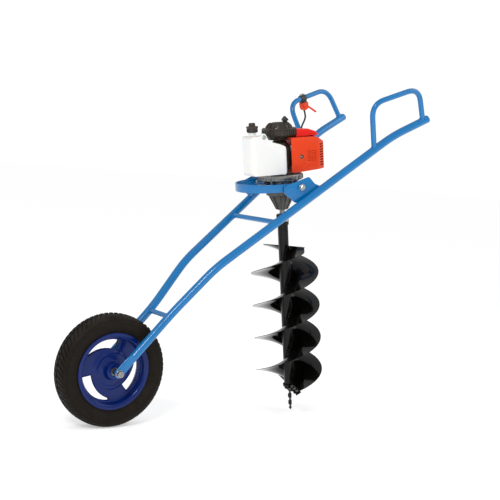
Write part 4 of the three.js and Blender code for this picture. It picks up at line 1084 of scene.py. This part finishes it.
class AUGER_OT_rim(bpy.types.Operator):
    """The rim: a rolled barrel, a dished disc with three windows, and a hub"""

    bl_idname = "auger.rim"
    bl_label = "Wheel rim"

    def execute(self, context):
        half = [(126, 28.5), (128.5, 33), (133, 36), (138, 37), (144, 37), (146, 36.4), (146, 35.4),
                (143, 34.5), (141.6, 32), (141.4, 22), (138, 14), (134, 0)]
        inner = [(124, 12), (122.6, 6)]
        outline = half + [(r, -y) for r, y in half[-2::-1]] + [(r, -y) for r, y in inner]
        barrel = made(turned(outline + inner[::-1], 112))
        face = [(15, 40), (27, 40), (29.5, 39), (31, 36), (32, 27), (36, 17), (42, 13), (54, 11.6),
                (60, 12.6), (66, 14), (70, 13.2), (74, 9.6), (80, 8), (104, 6.6), (114, 7), (123, 9.5)]
        disc = made(turned(face + [(r, -y) for r, y in face[::-1]], 112))
        windows = [made(slab(rim_window(middle), -30, 30)) for middle in WINDOW_TURNS]
        disc = carved(disc, *windows)
        lips = []
        for middle in WINDOW_TURNS:
            for height in (-6.2, 6.2):
                line = [Vector((x, y, height)) for x, y in rim_window(middle)]
                lips.append(tube(line, 2.2, 8, closed=True))
        whole = joined(barrel, disc, *lips)
        piece(whole, "dished_rim", "wheel", "rim_paint", ["wheel_rim"], WHEEL @ turn(90, "X"), angle=32)
        stem = turned([(0, 0), (6.5, 0), (6.5, 2), (4.2, 5), (4.2, 14), (3.2, 15), (3.2, 20), (4, 20.5),
                       (4, 26), (3, 27), (0, 27)], 20)
        beside_window = turn(WINDOW_TURNS[0] - WINDOW_WIDE_SWEEP + 6)
        valve = WHEEL @ turn(90, "X") @ beside_window @ shift(124, 0, -20) @ turn(-90, "Y")
        piece(made(stem), "tyre_valve", "wheel", "black_plastic", ["valve_stem"], valve)
        return {"FINISHED"}


class AUGER_OT_axle(bpy.types.Operator):
    """The axle with its spacers, bearings, washers and nuts"""

    bl_idname = "auger.axle"
    bl_label = "Axle"

    def execute(self, context):
        across = WHEEL @ turn(-90, "X")
        for name, side in SIDES.items():
            matrix = across @ Matrix.Scale(side, 4, (0, 0, 1))
            washer = turned([(8.2, 80.8), (14.4, 80.8), (15, 81.3), (15, 82.6), (14.4, 83.2),
                             (8.2, 83.2)], 40)
            nut = turned([(8, 83.2), (12.6, 83.2), (13.5, 84), (13.5, 92), (12, 94), (9.2, 94.4),
                          (8, 93)], 6)
            whole = joined(made(washer), made(nut))
            piece(whole, f"{name}_hex_nut", "frame", "bright_steel", [f"{name}_axle_nut"], matrix)
            sleeve = turned([(8.2, 40.4), (11.4, 40.4), (12, 41), (12, 70.6), (11.4, 71.2),
                             (8.2, 71.2)], 32)
            piece(made(sleeve), f"{name}_spacer_sleeve", "frame", "bright_steel",
                  [f"{name}_axle_spacer"], matrix)
            race = turned([(8.2, 28.4), (17.4, 28.4), (17.4, 40), (15.2, 40), (14.8, 39), (11.2, 39),
                           (10.8, 40), (8.2, 40)], 40)
            piece(made(race), f"{name}_ball_bearing", "wheel", "gear_steel",
                  [f"{name}_wheel_bearing"], matrix)
        shaft = turned([(0, -97), (7, -97), (8, -96), (8, 96), (7, 97), (0, 97)], 32)
        piece(made(shaft), "axle_rod", "frame", "gear_steel", ["axle"], across)
        return {"FINISHED"}


# ---- The power unit ----


def swept_strip(path, section):
    """A section swept along a flat path in X and Y; the section is (outwards, up) points."""
    points, faces = [], []
    count = len(section)
    for i, at in enumerate(path):
        ahead = Vector(path[min(i + 1, len(path) - 1)]) - Vector(path[max(i - 1, 0)])
        out = Vector((ahead.y, -ahead.x)).normalized()
        points += [(at[0] + out.x * a, at[1] + out.y * a, up) for a, up in section]
    for i in range(len(path) - 1):
        for j in range(count):
            k = (j + 1) % count
            faces.append([i * count + j, i * count + k, (i + 1) * count + k, (i + 1) * count + j])
    last = (len(path) - 1) * count
    faces += [list(range(count))[::-1], [last + j for j in range(count)]]
    return points, faces


class AUGER_OT_cradle(bpy.types.Operator):
    """The cradle: a flat bar bent to a U with a cross plate, hung on two pivot bolts"""

    bl_idname = "auger.cradle"
    bl_label = "Cradle"

    def execute(self, context):
        middle = arc(145, 270, 90, 64, x=-47)
        path = [(34, -145), (20, -145), (0, -145), (-25, -145), *middle]
        path += [(-25, 145), (0, 145), (20, 145), (34, 145)]
        section = filleted([(-3, -15), (3, -15), (3, 17), (-3, 17)], 1.6, 3)
        piece(made(swept_strip(path, section)), "cradle_band", "power_unit", "frame_paint",
              ["cradle_hoop"], UNIT)
        outline = filleted([(-96, -34), (-45, -141), (34, -141), (96, -50), (96, 50), (34, 141),
                            (-45, 141), (-96, 34)], 10)
        cross = made(slab(outline, -3, 3))
        gaps = [made(box(-37.6, -7.6, side * 145 - 17, side * 145 + 17, -9, 9)) for side in (-1, 1)]
        slots = [made(slab(filleted([(-60, side * 80 - 9), (20, side * 80 - 9), (20, side * 80 + 9),
                                     (-60, side * 80 + 9)], 8.5), -9, 9)) for side in (-1, 1)]
        cross = eased(carved(cross, *gaps, *slots), 0.9)
        studs = ringed(moved(merged(rod(4, -12, 42, 20), hex_bolt(7, 5, 1, 8.5)), shift(75, 0, 3)), 4, 25)
        nuts = ringed(moved(hex_bolt(7, 5, 1, 8.5), shift(75, 0, -3) @ turn(180, "X")), 4, 25)
        piece(cross, "cradle_cross_plate", "power_unit", "frame_paint", ["mount_plate"], UNIT)
        piece(joined(studs, nuts), "engine_mounting_studs", "power_unit", "bright_steel", (), UNIT)
        seams = []
        for side in (-1, 1):
            line = [Vector((x, side * 141.2, 4)) for x in (-5, 0, 8, 16, 24, 32)]
            seams.append(bead(line, 2.4))
            line = [Vector((x, side * 141.2, 4)) for x in (-62, -56, -50, -40)]
            seams.append(bead(line, 2.4))
        piece(joined(*seams), "cradle_weld_beads", "power_unit", "frame_paint", (), UNIT)
        for name, side in SIDES.items():
            bolt = moved(hex_bolt(11.4, 7.6, 46, 13.5), shift(0, 0, 173.8))
            nut = moved(hex_bolt(10.5, 8, 1), shift(0, 0, 141) @ turn(180, "X"))
            matrix = UNIT @ shift(-22.6, 0, 1) @ Matrix.Scale(side, 4, (0, 1, 0)) @ turn(-90, "X")
            piece(made(merged(bolt, nut)), f"{name}_pivot_screw", "power_unit", "bright_steel",
                  [f"{name}_pivot_bolt"], matrix)
        return {"FINISHED"}


class AUGER_OT_gearbox(bpy.types.Operator):
    """The ribbed gearbox cone under the plate and the clutch housing above it"""

    bl_idname = "auger.gearbox"
    bl_label = "Gearbox and clutch housing"

    def execute(self, context):
        cone = turned([(12.5, -104), (20.6, -104), (22, -103), (23, -99), (45, -48), (48, -45.4),
                       (60, -42.6), (62, -41), (62, -13), (63.5, -10.4), (67, -9), (68, -8),
                       (68, -3.4), (57.5, -3.4), (57.5, -38), (24, -38), (24, -58), (17.3, -88),
                       (17.3, -100), (12.5, -100)], 64)
        rib = slab([(20, -103), (25, -103), (54, -44), (60, -42), (40, -42)], -1.8, 1.8)
        ribs = ringed(moved(rib, turn(90, "X")), 10, 8)
        lobes = ringed(moved(rod(7, -16, -3.5, 20), shift(64, 0, 0)), 5, 20)
        screws = ringed(moved(hex_bolt(5, 3.4, 1), shift(65, 0, -16) @ turn(180, "X")), 5, 20)
        piece(joined(made(cone), ribs, lobes), "gearbox_cone", "power_unit", "cast_dark",
              ["gearbox_housing"], UNIT)
        piece(screws, "gearbox_screws", "power_unit", "bright_steel", (), UNIT)
        bell = turned([(8, 3.3), (56.5, 3.3), (58, 4.6), (58, 15), (60, 16.4), (85, 19.4), (88, 20.6),
                       (89, 22), (90, 38.6), (88.6, 41.6), (84, 44), (11, 44), (11, 40), (44, 40),
                       (44, 8), (8, 8)], 72)
        fin = ringed(box(87, 91.4, -1.5, 1.5, 22.5, 39), 30)
        foot_rib = ringed(moved(slab([(56, 4), (64, 6), (84, 20),
                                      (56, 20)], -1.6, 1.6), turn(90, "X")), 12)
        ears = ringed(moved(rod(8, 20.5, 43.6, 20), shift(86, 0, 0)), 4, 25)
        piece(joined(made(bell), fin, foot_rib, ears), "clutch_bell", "power_unit", "cast_aluminium",
              ["clutch_housing"], UNIT)
        return {"FINISHED"}


class AUGER_OT_engine(bpy.types.Operator):
    """The crankcase, finned cylinder, air filter and plug cap"""

    bl_idname = "auger.engine"
    bl_label = "Engine"

    def execute(self, context):
        sizes = context.scene.auger_engine
        case = turned([(10, 44.3), (44, 44.3), (46, 46), (46, 60), (47.5, 61), (47.5, 64), (46, 65),
                       (46, 146), (44.5, 151), (26, 176.5), (23, 178), (10, 178), (10, 140),
                       (37, 130), (37, 66), (10, 60)], 56)
        ribs = ringed(moved(slab([(40, 46), (50, 46), (50, 58), (47, 66), (40, 66)], -1.6, 1.6),
                            turn(90, "X")), 12, 15)
        pad = eased(made(box(20, 52, -30, 30, 70, 130)), 2)
        piece(joined(made(case), ribs, pad), "crankcase_casting", "power_unit", "cast_aluminium",
              ["crankcase"], UNIT)
        sleeve = turned([(0, 52.3), (30, 52.3), (30, 58), (27, 60), (27, 138), (25, 140), (0, 140)], 40)
        fin_step = 76 / (sizes.fins - 1)
        fin = turned([(0, 0), (43.4, 0), (44, 0.6), (44, 1.8), (43.4, 2.4), (0, 2.4)], 48)
        fins = repeated(moved(fin, shift(0, 0, 61)), sizes.fins, step=(0, 0, fin_step))
        along = UNIT @ shift(0, 0, 100) @ turn(90, "Y")
        piece(joined(made(sleeve), fins), "finned_cylinder", "power_unit", "cast_aluminium",
              ["cylinder"], along)
        boot = turned([(0, 136), (10, 136), (10, 141), (7.6, 142), (7.6, 148), (9, 149), (9.4, 158),
                       (8, 165), (5.6, 168), (0, 168)], 24)
        piece(made(boot), "plug_boot", "power_unit", "black_plastic", ["spark_plug"], along)
        lead = tube(flowing([(160, 0, 108), (158, 14, 128), (140, 34, 138), (110, 42, 146), (78, 40, 150),
                             (52, 34, 140)]), 3.2, 12)
        piece(lead, "plug_lead", "power_unit", "black_plastic", (), UNIT)
        shell = side_slab(filleted([(60, 62), (130, 62), (130, 140), (60, 140)], 10), 78.3, 116)
        shell = eased(carved(made(shell), made(box(63, 127, 77, 113, 65, 137))), 2.4, 3)
        ribs = repeated(box(66, 124, 115, 118, 72, 75), 6, step=(0, 0, 11))
        knob = made(moved(turned([(0, 114), (10, 114), (10, 121), (8.6, 123), (0, 123)], 24),
                          shift(95, 0, 101) @ turn(-90, "X")))
        piece(joined(shell, ribs, knob), "air_filter_box", "power_unit", "black_plastic",
              ["air_filter_cover"], UNIT)
        return {"FINISHED"}


class AUGER_OT_starter(bpy.types.Operator):
    """The slotted fan housing, the starter's ribbed dome, its rope and its grip"""

    bl_idname = "auger.starter"
    bl_label = "Recoil starter"

    def execute(self, context):
        sizes = context.scene.auger_engine
        drum = turned([(11, 181), (44, 181), (46.5, 182), (66.5, 199), (67.4, 201), (68.2, 219.4),
                       (70, 220.4), (70, 222), (66, 222), (64, 201), (44, 185), (11, 185)], 72)
        count = sizes.fan_slots
        bars = ringed(slab([(64.5, -2.2), (70.4, -1.8), (70.4, 1.8), (64.5, 2.2)], 200, 219), count)
        struts = ringed(moved(slab([(44, 181), (50, 183), (70, 200), (70, 204), (64, 201)], -1.6, 1.6),
                              turn(90, "X")), count // 2, 5)
        piece(joined(made(drum), bars, struts), "fan_drum", "power_unit", "black_plastic",
              ["fan_housing"], UNIT)
        dome = turned([(0, 246), (35, 246), (47, 236), (50, 228), (66, 226), (66, 222.3),
                       (69.4, 222.3), (70, 223), (70, 227), (69, 228), (53.6, 229), (51.4, 231),
                       (49.6, 236.4), (39, 247.6), (36.4, 249), (0, 249)], 72)
        rib = moved(slab([(47, 228), (55.4, 228), (55, 231), (52.4, 237.6), (41, 249.4), (36, 249.4),
                          (36, 246), (46, 236)], -2.5, 2.5), turn(90, "X"))
        ribs = ringed(rib, sizes.dome_ribs, 10)
        crown = made(turned([(0, 248), (26, 248), (27, 248.6), (27, 250.6), (25.6, 251.4),
                             (0, 251.4)], 48))
        screws = ringed(moved(hex_bolt(4.4, 3.2, 1), shift(62, 0, 227.6)), 4, 45)
        eye = made(moved(turned([(2.6, 248), (11, 248), (11, 250), (8.6, 256), (2.6, 256)], 28),
                         shift(32, 0, 0)))
        piece(joined(made(dome), ribs, crown, eye), "starter_dome", "power_unit", "black_plastic",
              ["recoil_cover"], UNIT)
        piece(screws, "starter_screws", "power_unit", "bright_steel", (), UNIT)
        across = UNIT @ shift(32, 0, 256.3) @ turn(-34)
        wedge = filleted([(-15, 0), (15, 0), (12.5, 6), (3.4, 16), (-3.4, 16), (-12.5, 6)], 2.2)
        grip = eased(made(side_slab(wedge, -26, 26)), 1.2)
        rings = repeated(side_slab(filleted([(-13.6, 1.6), (13.6, 1.6), (11.4, 7), (3.4, 16.8),
                                             (-3.4, 16.8),
                                             (-11.4, 7)], 2.4), -20, -17.6), 9, step=(0, 4.7, 0))
        piece(joined(grip, rings), "pull_grip", "starter_grip", "black_plastic", ["starter_grip"], across)
        foot, top = UNIT @ Vector((32, 0, 246)), UNIT @ Vector((32, 0, 262))
        rope = tube([Vector((32, 0, 246 + i * 0.25)) for i in range(65)], 1.7, 12)
        piece(rope, "starter_rope", None, "tank_white", (), UNIT,
              blend=("power_unit", "starter_grip", foot, top))
        return {"FINISHED"}


def tank_blank(inset=0.0):
    """The tank's plan and side view, crossed."""
    plan = [(-190 + inset, -74), (-176, -88 + inset), (-34, -88 + inset), (-22 - inset, -78),
            (-22 - inset, -56 - inset), (-60 - inset, -50), (-60 - inset, -inset), (-178, -inset),
            (-190 + inset, -12)]
    view = [(-190 + inset, 64), (-180, 52 + inset), (-34, 48 + inset), (-22 - inset, 58),
            (-22 - inset, 146), (-30, 158 - inset), (-58, 170 - inset), (-108, 184 - inset),
            (-118 - inset, 198), (-124, 208 - inset), (-180, 208 - inset), (-190 + inset, 198)]
    return carved(made(slab(plan, 40, 220)), made(side_slab(view, -120, 60)), operation="INTERSECT")


class AUGER_OT_tank(bpy.types.Operator):
    """The blow-moulded fuel tank with its lug, bolt, filler neck and cap"""

    bl_idname = "auger.tank"
    bl_label = "Fuel tank"

    def execute(self, context):
        lug = made(moved(rod(15, -88, -74, 40, 2), shift(-136, 0, 203) @ turn(-90, "X")))
        neck = made(moved(rod(15, 195, 232, 40), shift(-160, -44, 0)))
        body = carved(tank_blank(), lug, neck, operation="UNION")
        body = moulded(body, 2.2, 7)
        socket = made(moved(turned([(5, -89.4), (9.4, -89.4), (10.4, -88.6), (10.4, -84), (5, -84)], 32),
                            shift(-136, 0, 203) @ turn(-90, "X")))
        seam = [(-188.6, 0, 70), (-188.6, 0, 196), (-179, 0, 206.6), (-125, 0, 206.6), (-117, 0, 196)]
        seam = tube([Vector((x, -44, z)) for x, _, z in seam], 1.0, 8)
        thread = made(moved(turned([(10, 231), (14.2, 231), (14.2, 239), (10, 239)], 32),
                            shift(-160, -44, 0)))
        piece(joined(body, socket, seam, thread), "blown_tank", "power_unit", "tank_white",
              ["fuel_tank"], UNIT, angle=50)
        near = UNIT @ shift(-136, -88.3, 203) @ turn(90, "X")
        piece(made(hex_bolt(6.6, 4.6, 6, 8.6)), "tank_hex_bolt", "power_unit", "bright_steel",
              ["tank_bolt"], near)
        skirt = turned([(0, 230), (15.3, 230), (15.3, 212), (19, 212), (20, 213), (21, 226),
                        (23.4, 231.4), (24, 233), (24, 235.4), (22.6, 236.6), (14, 237.6),
                        (12.4, 239), (11, 248.6), (9.6, 250), (0, 250)], 48)
        knurls = ringed(box(10.2, 13, -1.3, 1.3, 239, 248.4), 12)
        grips = ringed(box(19.4, 22.2, -1.2, 1.2, 214, 226), 22)
        piece(joined(made(skirt), knurls, grips), "knurled_cap", "fuel_cap", "black_plastic",
              ["fuel_cap"], UNIT @ shift(-160, -44, 10))
        return {"FINISHED"}


def engine_room(radius=48):
    """What the covers leave free round the crankcase and the fan."""
    return made(turned([(0, 40), (radius, 40), (radius, 179), (72, 199), (72, 262), (0, 262)], 64))


class AUGER_OT_covers(bpy.types.Operator):
    """The louvred exhaust cover and the engine shroud behind it"""

    bl_idname = "auger.covers"
    bl_label = "Covers"

    def execute(self, context):
        def blank(inset, left, back):
            plan = filleted([(left, back), (left, -88 + inset), (134, -88 + inset),
                             (170 - inset, -72 + inset * 0.6), (170 - inset, back)], 5)
            view = filleted([(left, 51 + inset), (50, 51 + inset), (170 - inset, 56 + inset),
                             (170 - inset, 164), (122, 187 - inset), (left, 190 - inset)], 8)
            return carved(made(slab(plan, 40, 200)), made(side_slab(view, -120, 0)),
                          operation="INTERSECT")

        cover = carved(blank(0, -4, -20), blank(2.5, -24, 4), engine_room())
        bore = made(moved(rod(5.6, -120, -60, 24), shift(44, 0, 112) @ turn(-90, "X")))
        louvres = repeated(side_slab(filleted([(139, 68), (163, 70), (163, 75), (139, 73)], 2.2),
                                     -120, -40), 9, step=(0, 0, 10.4))
        cover = carved(cover, bore, louvres)
        values = {"Columns": 6, "Rows": 6, "Pitch": 7.6, "Hole radius": 2.2, "Depth": 30.0,
                  "Centre": (96.0, -88.0, 112.0)}
        cover = grown(cover, tree_of(holes_tree), values)
        cover = eased(cover, 0.7, 2, 40)
        seat = made(moved(turned([(9.2, 87), (12, 87), (13, 88), (13, 89.6), (11.6, 90.4),
                                  (9.2, 90.4)], 32),
                          shift(44, 0, 112) @ turn(90, "X")))
        piece(joined(cover, seat), "louvred_cover", "power_unit", "cover_orange",
              ["muffler_cover"], UNIT)
        near = UNIT @ shift(44, -88.3, 112) @ turn(90, "X")
        # A dark ring round the bolt, drawn as a washer: its dark colour is painted shade standing in for
        # the recess round the bolt.
        washer = turned([(5.9, -0.2), (9.1, -0.2), (9.1, 0.5), (5.9, 0.8)], 32)
        piece(made(washer), "cover_bolt_shade_washer", "power_unit", "black_plastic", (), near)
        piece(made(moved(hex_bolt(5.6, 4, 20), shift(0, 0, -3))), "cover_hex_bolt", "power_unit",
              "gear_steel", ["cover_bolt"], near)
        view = [(50, 150), (50, 222), (112, 219), (150, 206), (168, 188), (172, 150)]
        hood = moulded(made(side_slab(view, -50, 52)), 2.6, 9)
        smaller = Matrix.Translation((111, 1, 150)) @ Matrix.Diagonal((0.94, 0.93, 0.93,
                                                                       1)) @ shift(-111, -1, -158)
        inner = made(moved(side_slab(view, -50, 52), smaller))
        above = made(box(0, 200, -60, -18, 100, 190.3))
        hood = carved(hood, inner, above, engine_room())
        piece(hood, "engine_hood", "power_unit", "shroud_red", ["engine_shroud"], UNIT, angle=40)
        return {"FINISHED"}


class AUGER_OT_inner_works(bpy.types.Operator):
    """Finishes for the works that keep their CAD shape"""

    bl_idname = "auger.inner_works"
    bl_label = "Inner works"

    def execute(self, context):
        slots = {
            "gear_steel": ("layshaft_gears", "output_gear", "clutch_drum", "crankshaft",
                           "connecting_rod"),
            "cast_aluminium": ("clutch_shoes", "flywheel", "piston", "carburettor"),
            "bright_steel": ("output_bearing",),
            "black_plastic": ("starter_reel",),
            "cast_dark": ("muffler",),
        }
        for slot, names in slots.items():
            for name in names:
                node = frame["nodes"][name]
                node.data.materials.clear()
                node.data.materials.append(finish_of(slot))
        return {"FINISHED"}


# ---- The auger ----


FLIGHT_FOOT = -838.0
FLIGHT_RISE = 582.0
FLIGHT_TURN = -109
BLADE_PITCH = 24


class AUGER_OT_screw(bpy.types.Operator):
    """The auger: a tube with a welded flight, a toothed blade and a twisted pilot bit"""

    bl_idname = "auger.screw"
    bl_label = "Auger"

    def execute(self, context):
        sizes = context.scene.auger_screw
        tube_shape = turned([(11.3, -122), (20.6, -122), (21.5, -123), (21.5, -856), (20.6, -857),
                             (18.5, -857), (18.5, -184), (11.3, -176)], 48)
        collar = turned([(21, -124), (24.4, -124.6), (25.4, -126), (25.4, -166), (24.4, -168),
                         (21, -168.6)], 48)
        piece(joined(made(tube_shape), made(collar)), "screw_tube", "auger", "auger_black",
              ["auger_tube"], UNIT)
        turns = sizes.flight_turns
        flights = []
        for start in (math.radians(FLIGHT_TURN), math.radians(FLIGHT_TURN + 180)):
            values = {"Inner radius": 21.0, "Outer radius": mm(sizes.flight_radius),
                      "Thickness": mm(sizes.flight_thickness), "Foot": FLIGHT_FOOT, "Rise": FLIGHT_RISE,
                      "Turns": turns, "Start": start, "Steps": 200}
            flights.append(grown(made(box(0, 1, 0, 1, 0, 1)), tree_of(flight_tree), values))
            for offset in (3.0, -3.0):
                line = []
                for i in range(181):
                    share = i / 180
                    angle = start + 2 * math.pi * turns * share
                    line.append(Vector((22 * math.cos(angle), 22 * math.sin(angle),
                                        FLIGHT_FOOT + FLIGHT_RISE * share + offset)))
                flights.append(bead(line, 2.2, 2.6))
        piece(joined(*flights), "screw_flight", "auger", "auger_black", ["auger_flight"], UNIT)
        teeth = filleted([(24, 8), (139, 8), (141, -17), (126, -12), (110, -18), (94, -12), (78, -18),
                          (61, -12), (44, -18), (24, -14)], 1.6, 2)
        blade = eased(made(slab(teeth, -3, 3)), 1.0)
        bolts = [made(moved(hex_bolt(6.5, 4.6, 6, 8.5), shift(x, 0, 3))) for x in (50, 84, 118)]
        under_flight = shift(0, 0, FLIGHT_FOOT - 9) @ turn(FLIGHT_TURN) @ turn(BLADE_PITCH, "X")
        blade.data.transform(under_flight)
        bolts = joined(*bolts)
        bolts.data.transform(under_flight)
        pairs = [repeated(shape_of(obj), 2, degrees=180) for obj in (blade, bolts)]
        ring = made(turned([(21.7, -855), (26, -855), (27.2, -854), (27.2, -845), (26, -843.6),
                            (21.7, -843.6)], 48))
        piece(joined(pairs[0], ring), "toothed_blades", "auger", "auger_black", ["cutting_blade"], UNIT)
        piece(pairs[1], "blade_bolts", "auger", "gear_steel", (), UNIT)
        points, faces = [], []
        steps = 60
        for i in range(steps + 1):
            share = i / steps
            height = -862 - 96 * share
            width = 8.5 * (1 - 0.25 * share) * (1 - max(share - 0.9, 0) * 7)
            for x, y in ((-width, -3), (width, -3), (width, 3), (-width, 3)):
                angle = -2 * math.pi * 1.6 * share
                points.append((x * math.cos(angle) - y * math.sin(angle),
                               x * math.sin(angle) + y * math.cos(angle), height))
        for i in range(steps):
            for j in range(4):
                k = (j + 1) % 4
                faces.append([i * 4 + j, i * 4 + k, i * 4 + 4 + k, i * 4 + 4 + j])
        faces += [[3, 2, 1, 0], [steps * 4 + j for j in range(4)]]
        socket = turned([(0, -834), (18, -834), (18, -857.4), (20.8, -857.6), (21.5, -858.4),
                         (21.5, -864), (20, -865.4), (12, -867), (10, -873), (0, -873)], 40)
        piece(joined(made((points, faces)), made(socket)), "twisted_pilot", "auger", "auger_black",
              ["pilot_bit"], UNIT)
        bolt = moved(hex_bolt(7.6, 5.2, 50, 9), shift(0, 0, 25.6))
        nut = moved(hex_bolt(7.5, 7, 1), shift(0, 0, -25.6) @ turn(180, "X"))
        piece(made(merged(bolt, nut)), "coupling_hex_bolt", "auger", "bright_steel", ["coupling_bolt"],
              UNIT @ shift(0, 0, -146) @ turn(-90, "X"))
        return {"FINISHED"}


# ---- The throttle ----


class AUGER_OT_throttle(bpy.types.Operator):
    """The throttle: a clamp on the loop, a housing, a lever and the cable to the engine"""

    bl_idname = "auger.throttle"
    bl_label = "Throttle"

    def execute(self, context):
        band = moved(turned([(11.2, -13), (15, -13), (16, -12), (16, 12), (15, 13), (11.2, 13)], 40),
                     turn(90, "Y"))
        block = eased(made(box(-10, 10, -15, 15, -19, -11.4)), 1.2)
        piece(joined(made(band), block), "throttle_band", "frame", "black_plastic",
              ["throttle_clamp"], THROTTLE)
        screws = [made(moved(hex_bolt(4.4, 3.4, 3, 5.6), shift(x, 0, 15.6))) for x in (-6, 6)]
        piece(joined(*screws), "throttle_band_screws", "frame", "bright_steel", (), THROTTLE)
        view = filleted([(-14, -19), (16, -19), (18, -30), (14, -46), (4, -52), (-10, -52),
                         (-16, -40)], 3)
        body = carved(made(side_slab(view, -13, 13)), made(box(0, 40, -4, 4, -60, -24)))
        body = eased(body, 1.4, 3)
        ribs = repeated(side_slab([(-13, -24), (14, -24), (14, -25.6), (-13, -25.6)], -13.8, 13.8), 4,
                        step=(0, 0, -4))
        piece(joined(body, ribs), "throttle_body", "frame", "cover_orange", ["throttle_housing"],
              THROTTLE)
        lever = filleted([(9, -30), (14, -32), (30, -44), (62, -74), (66, -80), (60, -83), (28, -53),
                          (8, -42), (3, -40), (3, -33)], 3)
        piece(eased(made(side_slab(lever, -3, 3)), 1.1), "squeeze_lever", "throttle_lever",
              "cover_orange", ["throttle_lever"], THROTTLE)
        metres = Matrix.Scale(1000, 4)
        start, below = (metres @ THROTTLE @ Vector((-4, 0, z)) for z in (-47, -80))
        end = metres @ UNIT @ Vector((95, 64, 118))
        route = [start, below, Vector((1068, 232, 1104)), Vector((1016, 186, 1066)),
                 Vector((964, 156, 1052)), Vector((918, 108, 1054)), end + Vector((6, 10, 40)),
                 end + Vector((0, 0, 16)), end]
        cable = tube(flowing(route, 8), 4, 16)
        piece(cable, "throttle_cable_sheath", None, "cable_sheath", ["throttle_cable"],
              blend=("frame", "power_unit", route[2] * 0.001, route[6] * 0.001))
        return {"FINISHED"}


# ---- The stage ----


CAMERA_LENS = 75.7
CAMERA_PLACE = (-1.717, -3.476, 1.228)
CAMERA_DOWN = 8.29
CAMERA_TURN = -34.09
FLOOR_GLOW = 0.4
BACKDROP_STRENGTH = 1.05


class AUGER_OT_stage(bpy.types.Operator):
    """The camera, a pale floor under the wheel and the auger's tip, and soft light all round"""

    bl_idname = "auger.stage"
    bl_label = "Stage"

    def execute(self, context):
        looks = context.scene.auger_stage
        camera = bpy.data.cameras.new("camera")
        camera.sensor_width = 36
        camera.lens = CAMERA_LENS
        camera.clip_end = 100
        eye = bpy.data.objects.new("camera", camera)
        eye.location = CAMERA_PLACE
        eye.rotation_euler = (math.radians(90 - CAMERA_DOWN), 0, math.radians(CAMERA_TURN))
        context.scene.collection.objects.link(eye)
        context.scene.camera = eye
        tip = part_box("pilot_bit")[0]
        slope = math.atan2(tip.z, JOINTS["auger_spin"]["pos_m"][0] + 0.053)
        ground = made(slab([(-40, -40), (40, -40), (40, 40), (-40, 40)], -0.2, 0), "floor")
        ground.data.transform(Matrix.Rotation(-slope, 4, "Y"))
        ground.data.transform(shift(0, 0, -0.0005))
        white = bpy.data.materials.new("floor")
        white.use_nodes = True
        shader = white.node_tree.nodes["Principled BSDF"]
        shader.inputs["Base Color"].default_value = looks.floor
        shader.inputs["Roughness"].default_value = 0.9
        shader.inputs["Specular IOR Level"].default_value = 0.0
        shader.inputs["Emission Color"].default_value = (1, 1, 1, 1)
        shader.inputs["Emission Strength"].default_value = FLOOR_GLOW
        ground.data.materials.append(white)
        world = bpy.data.worlds.new("surround")
        world.use_nodes = True
        nodes = world.node_tree
        backdrop = nodes.nodes["Background"]
        backdrop.inputs["Color"].default_value = (1, 1, 1, 1)
        seen = nodes.nodes.new("ShaderNodeLightPath").outputs["Is Camera Ray"]
        strength = put(nodes, "ShaderNodeMapRange", {"Value": seen, "To Min": looks.sky,
                                                     "To Max": BACKDROP_STRENGTH})
        nodes.links.new(strength.outputs[0], backdrop.inputs["Strength"])
        context.scene.world = world
        target = Vector((0.65, 0, 0.6))
        for name, place, size, power in (("key", (-2.2, -2.6, 3.6), 1.1, looks.key),
                                         ("fill", (3.2, -1.6, 2.4), 2.4, looks.key * 0.35)):
            lamp = bpy.data.lights.new(name, "AREA")
            lamp.size = size
            lamp.energy = power
            light = bpy.data.objects.new(name, lamp)
            light.location = place
            light.rotation_euler = (target - Vector(place)).to_track_quat("-Z", "Y").to_euler()
            context.scene.collection.objects.link(light)
        context.scene.view_settings.view_transform = "Standard"
        return {"FINISHED"}


OPERATORS = (
    AUGER_OT_stage, AUGER_OT_throttle, AUGER_OT_rails, AUGER_OT_brackets, AUGER_OT_welds,
    AUGER_OT_tyre, AUGER_OT_rim, AUGER_OT_axle, AUGER_OT_cradle, AUGER_OT_gearbox, AUGER_OT_engine,
    AUGER_OT_starter, AUGER_OT_tank, AUGER_OT_covers, AUGER_OT_inner_works, AUGER_OT_screw,
)


class AUGER_PT_panel(bpy.types.Panel):
    """Sizes, finishes and build steps of the barrow auger"""

    bl_idname = "AUGER_PT_panel"
    bl_label = "Barrow Ice Auger"
    bl_space_type = "VIEW_3D"
    bl_region_type = "UI"
    bl_category = "Auger"

    def draw(self, context):
        for group in GROUPS:
            section = self.layout.box()
            settings = getattr(context.scene, group)
            for name in settings.__annotations__:
                section.prop(settings, name)
        for operator in OPERATORS:
            self.layout.operator(operator.bl_idname)


def register():
    for group in GROUPS.values():
        bpy.utils.register_class(group)
    for name, group in GROUPS.items():
        setattr(bpy.types.Scene, name, PointerProperty(type=group))
    for operator in OPERATORS:
        bpy.utils.register_class(operator)
    bpy.utils.register_class(AUGER_PT_panel)


def unregister():
    bpy.utils.unregister_class(AUGER_PT_panel)
    for operator in reversed(OPERATORS):
        bpy.utils.unregister_class(operator)
    for name, group in GROUPS.items():
        delattr(bpy.types.Scene, name)
        bpy.utils.unregister_class(group)


def main():
    register()
    for operator in OPERATORS:
        getattr(bpy.ops.auger, operator.bl_idname.split(".")[1])()


if __name__ == "__main__":
    main()
